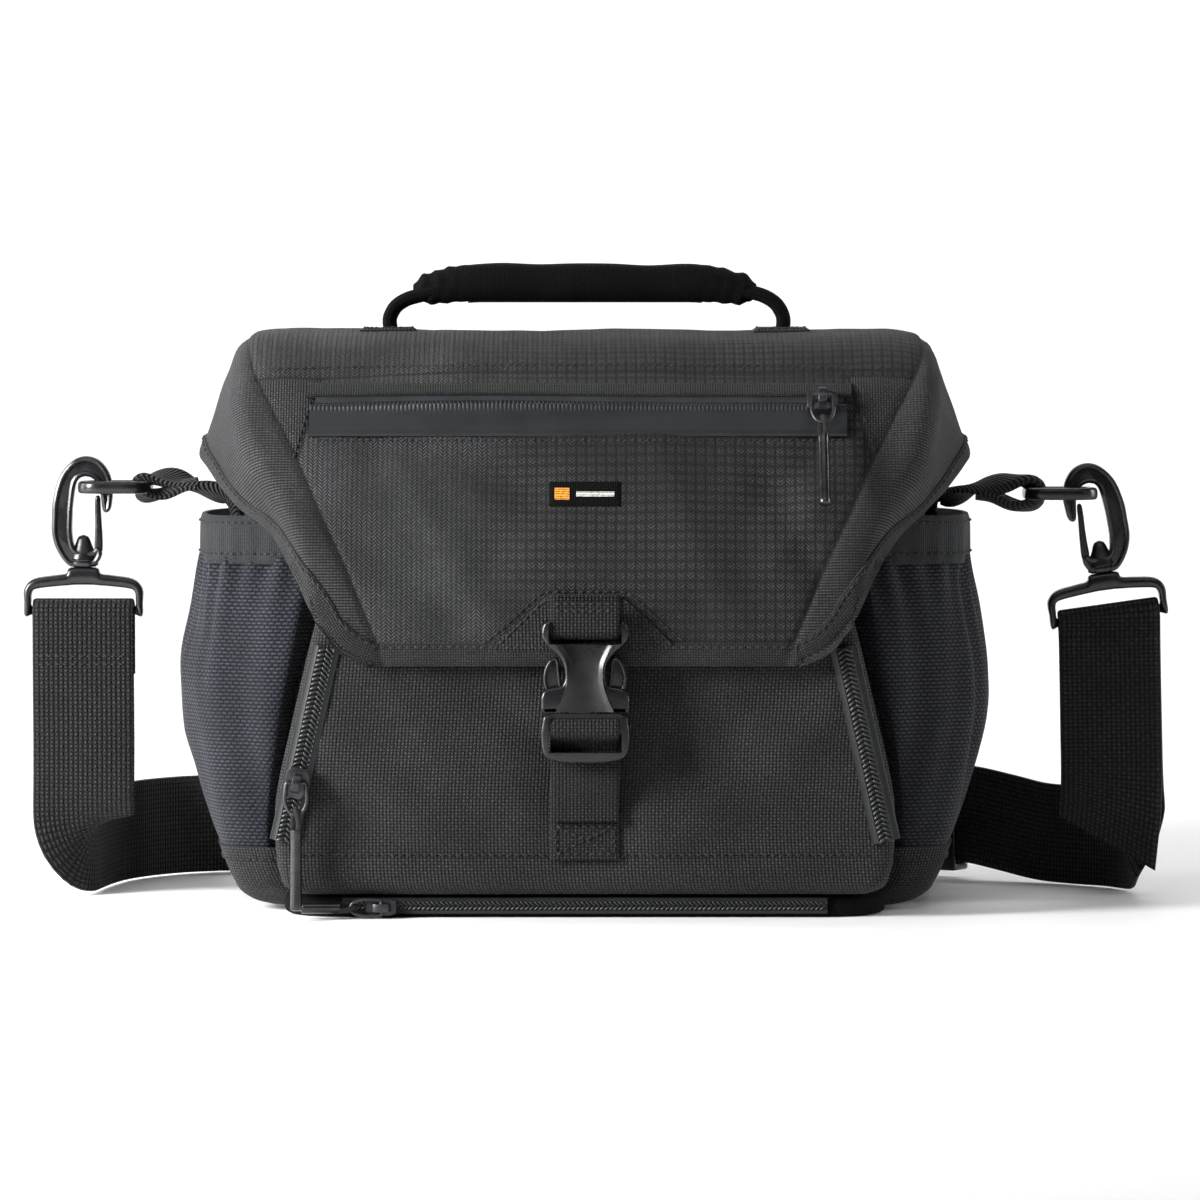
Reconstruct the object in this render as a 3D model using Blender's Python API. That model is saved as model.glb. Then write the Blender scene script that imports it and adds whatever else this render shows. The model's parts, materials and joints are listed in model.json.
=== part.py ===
"""Camera shoulder bag: padded tub, front pocket, side pockets, flap with side-release buckle, zips and strap.

Lengths in this file are millimetres, and every mesh and location is scaled to metres as it is made.
World frame: +X to the right as the bag is seen from its front, -Y out of the front, +Z up.
The origin is the middle of the flat base. A moving piece has its origin on its joint's axis.
"""

import math

import bmesh
import bpy
from mathutils import Matrix, Vector

MM = 0.001
GAP = 0.3

# Padded tub
BODY_HALF = 126.0
BODY_FRONT = -50.0
BODY_BACK = 85.0
BODY_TOP = 196.0
BODY_WALL = 7.0
BODY_CORNER = 26.0
POUCH_TOP = 8.0
TUB_BOTTOM = POUCH_TOP + GAP
TUB_FLOOR = 16.0
DIVIDER_X = 40.0
DIVIDER_THICK = 8.0
BOARD_THICK = 2.0

# Front pocket: height above the floor, half-width, front face
POCKET_LEVELS = ((TUB_BOTTOM, 106, -79), (14, 110, -83), (24, 112, -84), (44, 112, -84), (98, 100, -84),
                 (116, 95.5, -80.5), (138, 92, -75))
POCKET_WALL = 3.0
POCKET_ZIP_INSET = 6.5
TAPE_THICK = 1.2

# Side pockets: height above the floor, how far the wall stands off the tub
SIDE_LEVELS = ((14, 5), (30, 13), (60, 23), (86, 26), (110, 22), (129, 17))
SIDE_WALL = 2.0
SIDE_LINING = 1.2
SIDE_GAP = 0.9
BAND_TOP = 145.0

# Flap: outer profile from the hinge to the front hem, as (y, z, skirt length, corner x, hem x)
FLAP_ROWS = ((84, 203.5, 36, 128, 139), (76, 208.5, 41, 129, 140), (62, 212, 44, 130, 141),
             (40, 213, 45, 130, 141), (0, 213, 45, 130, 141), (-22, 212.5, 45, 130, 141),
             (-42, 208, 43, 130, 141), (-58, 198, 42, 130, 141), (-68, 185, 38, 129, 139),
             (-77, 168, 32, 124, 131), (-84, 150, 24, 114, 118), (-88.5, 130, 9, 105, 107),
             (-90.5, 112, 1.5, 97, 97.5), (-91, 97, 0.6, 86, 86))
FLAP_THICK = 5.0
FLAP_EDGE_RADIUS = 12.0
HINGE = (0, 87, 201)

# Zip of the flap: it crosses the flap's front slope
FLAP_ZIP_AT = (0, -68, 185)
FLAP_ZIP_LEFT = -100.0
FLAP_ZIP_RIGHT = 96.0
FLAP_SLIDER_X = 86.0

# Main zip, under the flap's skirt
MAIN_ZIP_LOW = 163.0
MAIN_ZIP_HIGH = 175.0
MAIN_ZIP_END = 76.0
MAIN_SLIDER_Y = 28.0

# Rain cover zip, on the front edge of the base
RAIN_SLIDER = (-74, -77.8, 4.1)
POUCH_FRONT = -76.0

# Carry handle
HANDLE_Y = -5.0
HANDLE_HALF = 73.0
HANDLE_PIVOT_Z = 219.0
GRIP_Z = 230.5

# Buckle
WEB_HALF = 12.5
WEB_THICK = 1.6
BUCKLE_Y = -97.7
BUCKLE_HALF_THICK = 4.4
PLUG_TOP = 75.5
BUCKLE_LOOP = 3.1

# Strap hardware
STRAP_Y = 5.0
LEFT_HOOK = (-188.0, STRAP_Y, 123.7)
RIGHT_HOOK = (194.4, STRAP_Y, 121.6)
RIGHT_TILT = math.radians(8)
EYE_HEIGHT = 30.8
RING_REACH = 24.2
STRAP_WIDTH = 38.0
STRAP_THICK = 2.4
YOKE_BAR_DROP = 15.5
YOKE_BAR_HALF = 1.4
PAD_WIDTH = 58.0
PAD_THICK = 7.0

GREYS = {
    "body_fabric": ((0.030, 0.031, 0.034), 0.9, 0.0),
    "flap_fabric": ((0.034, 0.035, 0.038), 0.9, 0.0),
    "mesh_knit": ((0.022, 0.024, 0.034), 0.95, 0.0),
    "webbing": ((0.016, 0.016, 0.017), 0.85, 0.0),
    "zip_tape": ((0.035, 0.042, 0.050), 0.55, 0.0),
    "plastic": ((0.030, 0.031, 0.033), 0.42, 0.0),
    "zip_metal": ((0.050, 0.050, 0.052), 0.35, 0.8),
    "pull_tube": ((0.028, 0.032, 0.037), 0.35, 0.0),
    "liner": ((0.110, 0.112, 0.115), 0.95, 0.0),
    "label": ((0.72, 0.33, 0.06), 0.8, 0.0),
    "board": ((0.060, 0.060, 0.062), 0.8, 0.0),
}


def clear_scene():
    for obj in list(bpy.data.objects):
        bpy.data.objects.remove(obj, do_unlink=True)


def material(name):
    made = bpy.data.materials.get(name)
    if made is None:
        colour, roughness, metallic = GREYS[name]
        made = bpy.data.materials.new(name)
        made.use_nodes = True
        shader = made.node_tree.nodes["Principled BSDF"]
        shader.inputs["Base Color"].default_value = (*colour, 1)
        shader.inputs["Roughness"].default_value = roughness
        shader.inputs["Metallic"].default_value = metallic
        made.diffuse_color = (*colour, 1)
    return made


def make(name, points, faces, finish, origin=(0, 0, 0), smooth=35):
    """A mesh object from points in millimetres, with its origin where it turns or slides."""
    base = Vector(origin)
    mesh = bpy.data.meshes.new(name)
    mesh.from_pydata([(Vector(p) - base) * MM for p in points], [], faces)
    shape = bmesh.new()
    shape.from_mesh(mesh)
    bmesh.ops.recalc_face_normals(shape, faces=shape.faces)
    shape.to_mesh(mesh)
    shape.free()
    mesh.shade_smooth()
    mesh.set_sharp_from_angle(angle=math.radians(smooth))
    mesh.materials.append(material(finish))
    obj = bpy.data.objects.new(name, mesh)
    obj.location = base * MM
    bpy.context.scene.collection.objects.link(obj)
    return obj


def loft(name, rings, finish, closed=False, **more):
    """Joins rings of equal count into one skin, capped at both ends unless the rings close on themselves."""
    count = len(rings[0])
    points = [p for ring in rings for p in ring]
    faces = []
    for row in range(len(rings) - (0 if closed else 1)):
        after = (row + 1) % len(rings)
        for i in range(count):
            j = (i + 1) % count
            faces.append((row * count + i, row * count + j, after * count + j, after * count + i))
    if not closed:
        faces.append(tuple(range(count))[::-1])
        faces.append(tuple((len(rings) - 1) * count + i for i in range(count)))
    return make(name, points, faces, finish, **more)


def prism(name, outline, low, high, finish, axis="Y", frame=None, **more):
    """Extrudes a flat outline: (x, z) along Y, (y, z) along X or (x, y) along Z."""
    place = {"Y": lambda p, h: (p[0], h, p[1]), "X": lambda p, h: (h, p[0], p[1]),
             "Z": lambda p, h: (p[0], p[1], h)}[axis]
    rings = [[Vector(place(p, h)) for p in outline] for h in (low, high)]
    if frame is not None:
        rings = [[frame @ p for p in ring] for ring in rings]
    return loft(name, rings, finish, **more)


def box_points(low, high):
    (x0, y0, z0), (x1, y1, z1) = low, high
    return [[(x0, y0, z), (x1, y0, z), (x1, y1, z), (x0, y1, z)] for z in (z0, z1)]


def box(name, low, high, finish, bevel=0.0, frame=None, **more):
    rings = [[Vector(p) for p in ring] for ring in box_points(low, high)]
    if frame is not None:
        rings = [[frame @ p for p in ring] for ring in rings]
    obj = loft(name, rings, finish, **more)
    if bevel:
        add_bevel(obj, bevel)
    return obj


def add_bevel(obj, width, segments=2):
    rounding = obj.modifiers.new("rounding", "BEVEL")
    rounding.width = width * MM
    rounding.segments = segments
    rounding.limit_method = "ANGLE"
    rounding.angle_limit = math.radians(40)


def cut(obj, *cutters):
    for number, cutter in enumerate(cutters):
        cutter.hide_render = True
        cutter.display_type = "WIRE"
        hollow = obj.modifiers.new(f"cut_{number}", "BOOLEAN")
        hollow.object = cutter
        hollow.operation = "DIFFERENCE"


def rounded_rectangle(half_x, low_y, high_y, radius, steps=5):
    """Anticlockwise outline in plan, starting at the front of the right side."""
    corners = ((half_x - radius, high_y - radius, 0), (-half_x + radius, high_y - radius, 90),
               (-half_x + radius, low_y + radius, 180), (half_x - radius, low_y + radius, 270))
    outline = []
    for x, y, start in corners:
        for i in range(steps + 1):
            angle = math.radians(start + 90 * i / steps)
            outline.append((x + radius * math.cos(angle), y + radius * math.sin(angle)))
    return outline


def thickened(line, thick):
    """The outline of a flat line of points given a thickness."""
    sides = ([], [])
    for i, point in enumerate(line):
        before = Vector(line[max(i - 1, 0)])
        after = Vector(line[min(i + 1, len(line) - 1)])
        along = (after - before).normalized()
        across = Vector((-along.y, along.x)) * thick / 2
        sides[0].append(tuple(Vector(point) + across))
        sides[1].append(tuple(Vector(point) - across))
    return sides[0] + sides[1][::-1]


def arc(centre, radius, start, end, steps):
    """Points on a flat arc, with its angles in degrees."""
    angles = [math.radians(start + (end - start) * i / steps) for i in range(steps + 1)]
    return [(centre[0] + radius * math.cos(a), centre[1] + radius * math.sin(a)) for a in angles]


def smooth_path(points, per_span):
    """A Catmull-Rom curve through the points."""
    ends = [Vector(points[0]) * 2 - Vector(points[1]), *map(Vector, points),
            Vector(points[-1]) * 2 - Vector(points[-2])]
    path = []
    for i in range(1, len(ends) - 2):
        a, b, c, d = ends[i - 1:i + 3]
        for step in range(per_span):
            t = step / per_span
            path.append(0.5 * (2 * b + (c - a) * t + (2 * a - 5 * b + 4 * c - d) * t ** 2
                               + (3 * b - a - 3 * c + d) * t ** 3))
    path.append(ends[-2])
    return path


def directions(path, closed=False):
    count = len(path)
    if closed:
        return [(path[(i + 1) % count] - path[i - 1]).normalized() for i in range(count)]
    return [(path[min(i + 1, count - 1)] - path[max(i - 1, 0)]).normalized() for i in range(count)]


def tube(name, path, radii, finish, closed=False, sides=8, flatten=1.0, up=(0, 1, 0), **more):
    """A round or flattened bar along a path that stays square to the up direction."""
    path = [Vector(p) for p in path]
    radii = radii if isinstance(radii, (list, tuple)) else [radii] * len(path)
    rings = []
    for point, along, radius in zip(path, directions(path, closed), radii):
        first = Vector(up)
        second = along.cross(first).normalized()
        ring = []
        for i in range(sides):
            angle = 2 * math.pi * (i + 0.5) / sides
            ring.append(point + first * radius * math.cos(angle)
                        + second * radius * flatten * math.sin(angle))
        rings.append(ring)
    return loft(name, rings, finish, closed=closed, **more)


# --- padded body -----------------------------------------------------------------------------------


def tub_ring(z, inset):
    radius = max(BODY_CORNER - inset, 6)
    outline = rounded_rectangle(BODY_HALF - inset, BODY_FRONT + inset, BODY_BACK - inset, radius, 8)
    return [(x, y, z) for x, y in outline]


def build_tub():
    outer = [(TUB_BOTTOM, 13), (13, 6), (22, 1.5), (34, 0), (180, 0), (BODY_TOP, 2)]
    inner = [(BODY_TOP, BODY_WALL + 1), (180, BODY_WALL), (24, BODY_WALL), (TUB_FLOOR, BODY_WALL + 3)]
    loft("tub_shell", [tub_ring(z, inset) for z, inset in outer + inner], "body_fabric")


def build_pouch():
    outline = rounded_rectangle(110, POUCH_FRONT, 78, 20)
    pouch = prism("rain_cover_pouch", outline, 0, POUCH_TOP, "body_fabric", axis="Z")
    add_bevel(pouch, 1.2, 1)


def build_inside():
    low = TUB_FLOOR + GAP
    outline = rounded_rectangle(BODY_HALF - BODY_WALL - 8, BODY_FRONT + 15, BODY_BACK - 15, 10, 2)
    prism("floor_board", outline, low, low + BOARD_THICK, "board", axis="Z")
    front = BODY_FRONT + BODY_WALL + GAP
    back = BODY_BACK - BODY_WALL - GAP
    for name, x in (("divider_left", -DIVIDER_X), ("divider_right", DIVIDER_X)):
        box(name, (x - DIVIDER_THICK / 2, front, 24.3), (x + DIVIDER_THICK / 2, back, 165), "liner", 2)


def build_back_panel():
    outline = rounded_rectangle(113, 16, 189, 18)
    low = BODY_BACK + GAP
    panel = prism("back_panel", outline, low, low + 7.5, "body_fabric", axis="Y")
    add_bevel(panel, 3, 2)


def pocket_ring(z, half, front, inset):
    corner = 2.5
    x, y, back = half - inset, front + inset, BODY_FRONT - GAP - inset
    turn = [(px, py, z) for px, py in arc((x - corner, y + corner), corner, -90, 0, 2)]
    other = [(-px, py, pz) for px, py, pz in turn[::-1]]
    return [*turn, (x, back, z), (-x, back, z), *other]


def build_front_pocket():
    outer = [pocket_ring(z, half, front, 0) for z, half, front in POCKET_LEVELS]
    inner = [pocket_ring(z, half, front, POCKET_WALL) for z, half, front in POCKET_LEVELS[:0:-1]]
    loft("front_pocket", outer + inner, "body_fabric")


def pocket_zip_frame(side):
    """Frame on the pocket's front face: X along the zip, upwards, and Z out of the face."""
    low, high = POCKET_LEVELS[3], POCKET_LEVELS[4]
    start = Vector((side * (low[1] - POCKET_ZIP_INSET), low[2], low[0]))
    end = Vector((side * (high[1] - POCKET_ZIP_INSET), high[2], high[0]))
    return plane_frame(start, end - start, (0, -1, 0))


def plane_frame(origin, along, out):
    x = Vector(along).normalized()
    z = Vector(out).normalized()
    y = z.cross(x)
    turn = Matrix((x, y, z)).transposed().to_4x4()
    return Matrix.Translation(Vector(origin)) @ turn


def build_pocket_zips():
    for name, side in (("pocket_zip_left", -1), ("pocket_zip_right", 1)):
        box(name, (-16, -4, GAP), (56, 4, GAP + TAPE_THICK), "zip_tape", frame=pocket_zip_frame(side))


def tub_side(offset, from_x, end_y):
    """The tub's right side in plan, moved out by offset, from the front face at from_x to end_y."""
    centre = (BODY_HALF - BODY_CORNER, BODY_FRONT + BODY_CORNER)
    radius = BODY_CORNER + offset
    reach = min(max((from_x - centre[0]) / radius, 0.0), 0.95)
    start = -90 + math.degrees(math.asin(reach))
    line = arc(centre, radius, start, 0, 8)
    return line + [(BODY_HALF + offset, y) for y in (-4, 16, 36, 56, end_y)]


def side_curve(depth, from_x, end_y=74.0):
    """The side pocket's wall in plan, front to back."""
    front = tub_side(SIDE_GAP, from_x, end_y)[0]
    shoulder = front[0] + 0.35 * (BODY_HALF - front[0])
    through = [(front[0], front[1] - 0.4), (shoulder, front[1] - 0.28 * depth),
               (BODY_HALF + 0.50 * depth, -43), (BODY_HALF + 0.88 * depth, -24),
               (BODY_HALF + depth, 4), (BODY_HALF + 0.92 * depth, 32),
               (BODY_HALF + 0.62 * depth, 56), (BODY_HALF + SIDE_GAP + SIDE_LINING + SIDE_WALL, end_y)]
    return [(p.x, p.y) for p in smooth_path([(x, y, 0) for x, y in through], 2)]


def inward(line, amount):
    """The line moved towards the tub, square to itself."""
    moved = []
    for i, (x, y) in enumerate(line):
        x0, y0 = line[max(i - 1, 0)]
        x1, y1 = line[min(i + 1, len(line) - 1)]
        length = math.hypot(x1 - x0, y1 - y0)
        moved.append((x - amount * (y1 - y0) / length, y + amount * (x1 - x0) / length))
    return moved


def pocket_half_width(z):
    """The front pocket's half-width at a height."""
    for (z0, half0, _), (z1, half1, _) in zip(POCKET_LEVELS, POCKET_LEVELS[1:]):
        if z0 <= z <= z1:
            return half0 + (half1 - half0) * (z - z0) / (z1 - z0)
    return POCKET_LEVELS[-1][1]


def side_ring(z, depth, inset, sign):
    start = pocket_half_width(z) + 2
    wall = side_curve(depth, start)
    if inset:
        wall = inward(wall, SIDE_WALL)
        wall[0] = (wall[0][0] + 2.4, wall[0][1])
        wall[-1] = (wall[-1][0], wall[-1][1] - 3)
        lining = tub_side(SIDE_GAP + SIDE_LINING, start + 4, 72)
    else:
        lining = tub_side(SIDE_GAP, start, 74)
    return [(sign * x, y, z) for x, y in wall + lining[::-1]]


def build_side_pockets():
    for name, sign in (("side_pocket_left", -1), ("side_pocket_right", 1)):
        outer = [side_ring(z, depth, 0, sign) for z, depth in SIDE_LEVELS]
        inner = [side_ring(z, depth, 1, sign) for z, depth in SIDE_LEVELS[:0:-1]]
        loft(name, outer + inner, "mesh_knit")
    top, depth = SIDE_LEVELS[-1]
    wall = side_curve(depth, pocket_half_width(top) + 2)
    strip = wall[1:] + inward(wall, SIDE_WALL)[:0:-1]
    for name, sign in (("elastic_band_left", -1), ("elastic_band_right", 1)):
        outline = [(sign * x, y) for x, y in strip]
        prism(name, outline, top + GAP, BAND_TOP, "webbing", axis="Z")


def build_main_zip():
    def half(offset):
        return tub_side(offset, 0, MAIN_ZIP_END)
    right = half(GAP)
    outer = half(GAP + TAPE_THICK)
    inside = [(-x, y) for x, y in right[::-1]] + right
    outside = [(-x, y) for x, y in outer[::-1]] + outer
    prism("main_zip_tape", outside + inside[::-1], MAIN_ZIP_LOW, MAIN_ZIP_HIGH, "zip_tape", axis="Z")


def build_rain_zip():
    front = POUCH_FRONT - GAP
    box("rain_zip_tape", (-88, front - TAPE_THICK, 1.4), (88, front, 7.2), "zip_tape")


# --- flap ------------------------------------------------------------------------------------------


def flap_directions():
    """For each profile row, the direction from the outer skin towards the inside."""
    inward_ways = []
    for i in range(len(FLAP_ROWS)):
        before, after = FLAP_ROWS[max(i - 1, 0)], FLAP_ROWS[min(i + 1, len(FLAP_ROWS) - 1)]
        along = Vector((after[0] - before[0], after[1] - before[1])).normalized()
        inward_ways.append(Vector((-along.y, along.x)))
    inward_ways[0] = Vector((0, -1))
    inward_ways[-1] = Vector((1, 0))
    return inward_ways


def flap_row(row, way):
    y, z, skirt, corner_x, hem_x = row
    edge = min(FLAP_EDGE_RADIUS, skirt)
    half = [(hem_x, skirt), (hem_x - 0.45 * (hem_x - corner_x), edge + 0.55 * (skirt - edge)),
            (corner_x, edge), (corner_x - 0.29 * edge, 0.29 * edge), (corner_x - edge, 0)]
    half += [(share * (corner_x - edge), 0) for share in (0.7, 0.35, 0)]
    across = [(-x, d) for x, d in half] + [(x, d) for x, d in half[-2::-1]]
    return [(x, y + way.x * d, z + way.y * d) for x, d in across]


def build_flap():
    rows = [flap_row(row, way) for row, way in zip(FLAP_ROWS, flap_directions())]
    count = len(rows[0])
    points = [p for row in rows for p in row]
    faces = [(r * count + i, r * count + i + 1, (r + 1) * count + i + 1, (r + 1) * count + i)
             for r in range(len(rows) - 1) for i in range(count - 1)]
    flap = make("flap_shell", points, faces, "flap_fabric", origin=HINGE)
    body = flap.modifiers.new("padding", "SOLIDIFY")
    body.thickness = FLAP_THICK * MM
    body.offset = -1
    body.use_even_offset = True
    body.use_quality_normals = True
    top = flap.data.polygons[3 * (count - 1) + count // 2].normal.z
    if top < 0:
        flap.data.flip_normals()


def flap_zip_frame():
    """Frame on the flap's slope: X towards the zip's closed end, Y down the slope and Z outwards."""
    down = Vector((0, -19, -30)).normalized()
    out = Vector((0, -30, 19)).normalized()
    return plane_frame(FLAP_ZIP_AT, down.cross(out), out)


def build_flap_zip():
    frame = flap_zip_frame()
    low, high = sorted((-FLAP_ZIP_RIGHT, -FLAP_ZIP_LEFT))
    lift = 0.6
    box("flap_zip_lower_tape", (low, 0.8, lift), (high, 12.5, lift + 1.4), "zip_tape", frame=frame,
        origin=HINGE)
    box("flap_zip_upper_tape", (low, -9, lift), (high, -0.8, lift + 1.4), "zip_tape", frame=frame,
        origin=HINGE)


def build_label():
    tilt = plane_frame((0, -82.9, 154), (1, 0, 0), (0, -18, 6.4))
    box("woven_label", (-13, -4.5, GAP), (13, 4.5, GAP + 0.9), "label", frame=tilt, origin=HINGE)


def build_handle():
    radius = 8.0
    rise = GRIP_Z - HANDLE_PIVOT_Z
    side = [(HANDLE_HALF, 0, 4.2), (HANDLE_HALF, 0.45 * rise, 4.6), (HANDLE_HALF - 2.5, 0.8 * rise, 5.4),
            (HANDLE_HALF - 9, rise, 6.6), (HANDLE_HALF - 20, rise, radius), (24, rise, radius)]
    whole = [(-x, dz, r) for x, dz, r in side] + [(x, dz, r) for x, dz, r in side[::-1]]
    path = [(x, HANDLE_Y, HANDLE_PIVOT_Z + dz) for x, dz, _ in whole]
    tube("carry_handle", path, [r for _, _, r in whole], "webbing", sides=10, up=(0, 1, 0),
         origin=(0, HANDLE_Y, HANDLE_PIVOT_Z), smooth=60)
    top = FLAP_ROWS[4][1] + GAP
    for name, side_sign in (("handle_tab_left", -1), ("handle_tab_right", 1)):
        x = side_sign * HANDLE_HALF
        box(name, (x - 9, HANDLE_Y - 13, top), (x + 9, HANDLE_Y + 13, top + 1), "webbing", origin=HINGE)


# --- zip sliders and pulls -------------------------------------------------------------------------


def slider_shape(name, outline, low, high, place, frame, origin):
    """A flat outline raised from low to high, where place turns (a, b, height) into the slider's own axes."""
    to_origin = Matrix.Translation(-Vector(origin)) @ frame
    count = len(outline)
    points = [(to_origin @ Vector(place(a, b, level))) * MM for level in (low, high) for a, b in outline]
    faces = [(i, (i + 1) % count, count + (i + 1) % count, count + i) for i in range(count)]
    faces += [tuple(range(count))[::-1], tuple(range(count, 2 * count))]
    mesh = bpy.data.meshes.new(name)
    mesh.from_pydata(points, [], faces)
    shape = bmesh.new()
    shape.from_mesh(mesh)
    bmesh.ops.recalc_face_normals(shape, faces=shape.faces)
    shape.to_mesh(mesh)
    shape.free()
    mesh.shade_smooth()
    mesh.set_sharp_from_angle(angle=math.radians(35))
    mesh.materials.append(material("zip_metal"))
    obj = bpy.data.objects.new(name, mesh)
    obj.location = Vector(origin) * MM
    bpy.context.scene.collection.objects.link(obj)
    return obj


def build_slider(name, frame, origin, half_width=4.2, height=4.0, across=False):
    """Slider on the plane of its tape: X along the zip, Z outwards. Its bridge has an eye for the pull.

    The eye's axis is Y, or X when the pull hangs across the zip. The eye's height is returned.
    """
    wide, narrow = half_width, half_width * 0.62
    plan = [(-5.5, -narrow), (-2.2, -wide), (3.3, -wide), (5.5, -wide * 0.75), (5.5, wide * 0.75),
            (3.3, wide), (-2.2, wide), (-5.5, narrow)]
    crown = height + 4.2
    eye_height = height + 1.9
    bridge = [(-3.6, height - 0.5), (3.6, height - 0.5), (3.0, crown - 0.9), (1.6, crown),
              (-1.6, crown), (-3.0, crown - 0.9)]
    eye = arc((0, eye_height), 1.25, 0, 315, 7)

    def flat(a, b, level):
        return (a, b, level)

    def upright(a, b, level):
        return (level, a, b) if across else (a, level, b)

    body = slider_shape(name, plan, 0, height, flat, frame, origin)
    joined = slider_shape(f"{name}_bridge", bridge, -1.5, 1.5, upright, frame, origin)
    cut(body, joined, slider_shape(f"{name}_eye", eye, -3.0, 3.0, upright, frame, origin))
    body.modifiers[0].operation = "UNION"
    return eye_height


def build_pull(name, pivot, hang, side, length, half=3.4):
    """Wire loop through the slider's eye, with a cord end in a tube at its foot, hanging from the pivot."""
    pivot, down, across = Vector(pivot), Vector(hang).normalized(), Vector(side).normalized()
    normal = down.cross(across)
    reach, wire = 11.0, 0.65
    flat = [(-half, 0.0), (-half * 0.5, 0.0), (half * 0.5, 0.0), (half, 0.0), (half + 0.5, reach * 0.55),
            (half * 0.75, reach * 0.9), (0, reach), (-half * 0.75, reach * 0.9), (-half - 0.5, reach * 0.55)]
    loop = [pivot + across * a + down * b for a, b in flat]
    tube(f"{name}_wire", loop, wire, "zip_metal", closed=True, sides=6, up=normal, origin=pivot)
    start = reach + wire + 0.45
    stations = [(start, 1.3), (start + 2.0, 1.7), (reach + 6, 1.9), (reach + 7, 2.2), (length - 1, 2.2),
                (length, 1.6)]
    path = [pivot + down * distance for distance, _ in stations]
    tube(f"{name}_tube", path, [radius for _, radius in stations], "pull_tube", up=normal, origin=pivot,
         smooth=50)


def build_zip_runners():
    x_way, down = (1, 0, 0), (0, 0, -1)
    # Flap zip
    frame = flap_zip_frame() @ Matrix.Translation((-FLAP_SLIDER_X, 0, 2.3))
    seat = frame.translation
    eye = build_slider("flap_zip_slider", frame, seat, across=True)
    slope = flap_zip_frame().to_3x3().col[1]
    build_pull("flap_pull", frame @ Vector((0, 0, eye)), slope, x_way, 46)
    # Front pocket zip
    frame = pocket_zip_frame(-1) @ Matrix.Translation((6, 0, GAP * 2 + TAPE_THICK))
    eye = build_slider("pocket_zip_slider", frame, frame.translation)
    build_pull("pocket_pull", frame @ Vector((0, 0, eye)), down, x_way, 46)
    # Main zip, one runner on each side
    for word, sign in (("left", -1), ("right", 1)):
        seat = (sign * (BODY_HALF + 2 * GAP + TAPE_THICK), MAIN_SLIDER_Y, (MAIN_ZIP_LOW + MAIN_ZIP_HIGH) / 2)
        frame = plane_frame(seat, (0, 1, 0), (sign, 0, 0))
        eye = build_slider(f"main_zip_slider_{word}", frame, seat, half_width=3.8, height=1.8, across=True)
        build_pull(f"main_pull_{word}", frame @ Vector((0, 0, eye)), down, (0, 1, 0), 46)
    # Rain cover zip
    frame = plane_frame(RAIN_SLIDER, (1, 0, 0), (0, -1, 0))
    eye = build_slider("rain_zip_slider", frame, RAIN_SLIDER, half_width=3.1, height=2.6)
    build_pull("rain_pull", frame @ Vector((0, 0, eye)), (-1, 0, 0), (0, 0, 1), 29, half=2.4)


# --- buckle ----------------------------------------------------------------------------------------


def build_buckle_web():
    """Webbing sewn to the flap and looped round the socket's bar."""
    bar = (BUCKLE_Y + 1.4, 105.8)
    radius = BUCKLE_LOOP
    line = [(bar[0] + radius, 118), (bar[0] + radius, 112), *arc(bar, radius, 0, -180, 6),
            (bar[0] - radius, 111), (bar[0] - radius, 116)]
    prism("buckle_web", thickened(line, WEB_THICK), -WEB_HALF, WEB_HALF, "webbing", axis="X", origin=HINGE)
    patch = [(-32, 99), (32, 99), (15, 116), (-15, 116)]
    prism("buckle_patch", patch, -92.1, -91.3, "body_fabric", axis="Y", origin=HINGE)


def build_socket():
    low, top = PLUG_TOP + 0.6, 109.0
    half = [(14.6, low), (14.8, low + 9), (12.4, low + 18), (12.2, 97), (15.4, 101), (15.6, top)]
    outline = half + [(-x, z) for x, z in half[::-1]]
    front, back = BUCKLE_Y - BUCKLE_HALF_THICK, BUCKLE_Y + BUCKLE_HALF_THICK
    socket = prism("buckle_socket", outline, front, back, "plastic", axis="Y", origin=HINGE)
    bar_y = BUCKLE_Y + 1.4
    window = box("socket_window", (-13.2, front - 5, 99.5), (13.2, back + 5, 104.2), "plastic")
    ahead = box("socket_bar_front", (-13.2, front - 5, 99.4), (13.2, bar_y - 1.5, top + 5), "plastic")
    behind = box("socket_bar_back", (-13.2, bar_y + 1.5, 99.4), (13.2, back + 5, top + 5), "plastic")
    above = box("socket_bar_top", (-13.2, front - 5, 107.3), (13.2, back + 5, top + 5), "plastic")
    cavity = box("socket_cavity", (-10.6, BUCKLE_Y - 2.7, low - 5), (10.6, BUCKLE_Y + 2.7, 97), "plastic")
    sides = box("socket_sides", (-20, BUCKLE_Y - 2.7, low - 5), (20, BUCKLE_Y + 2.7, 92.4), "plastic")
    cut(socket, window, ahead, behind, above, cavity, sides)


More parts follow.
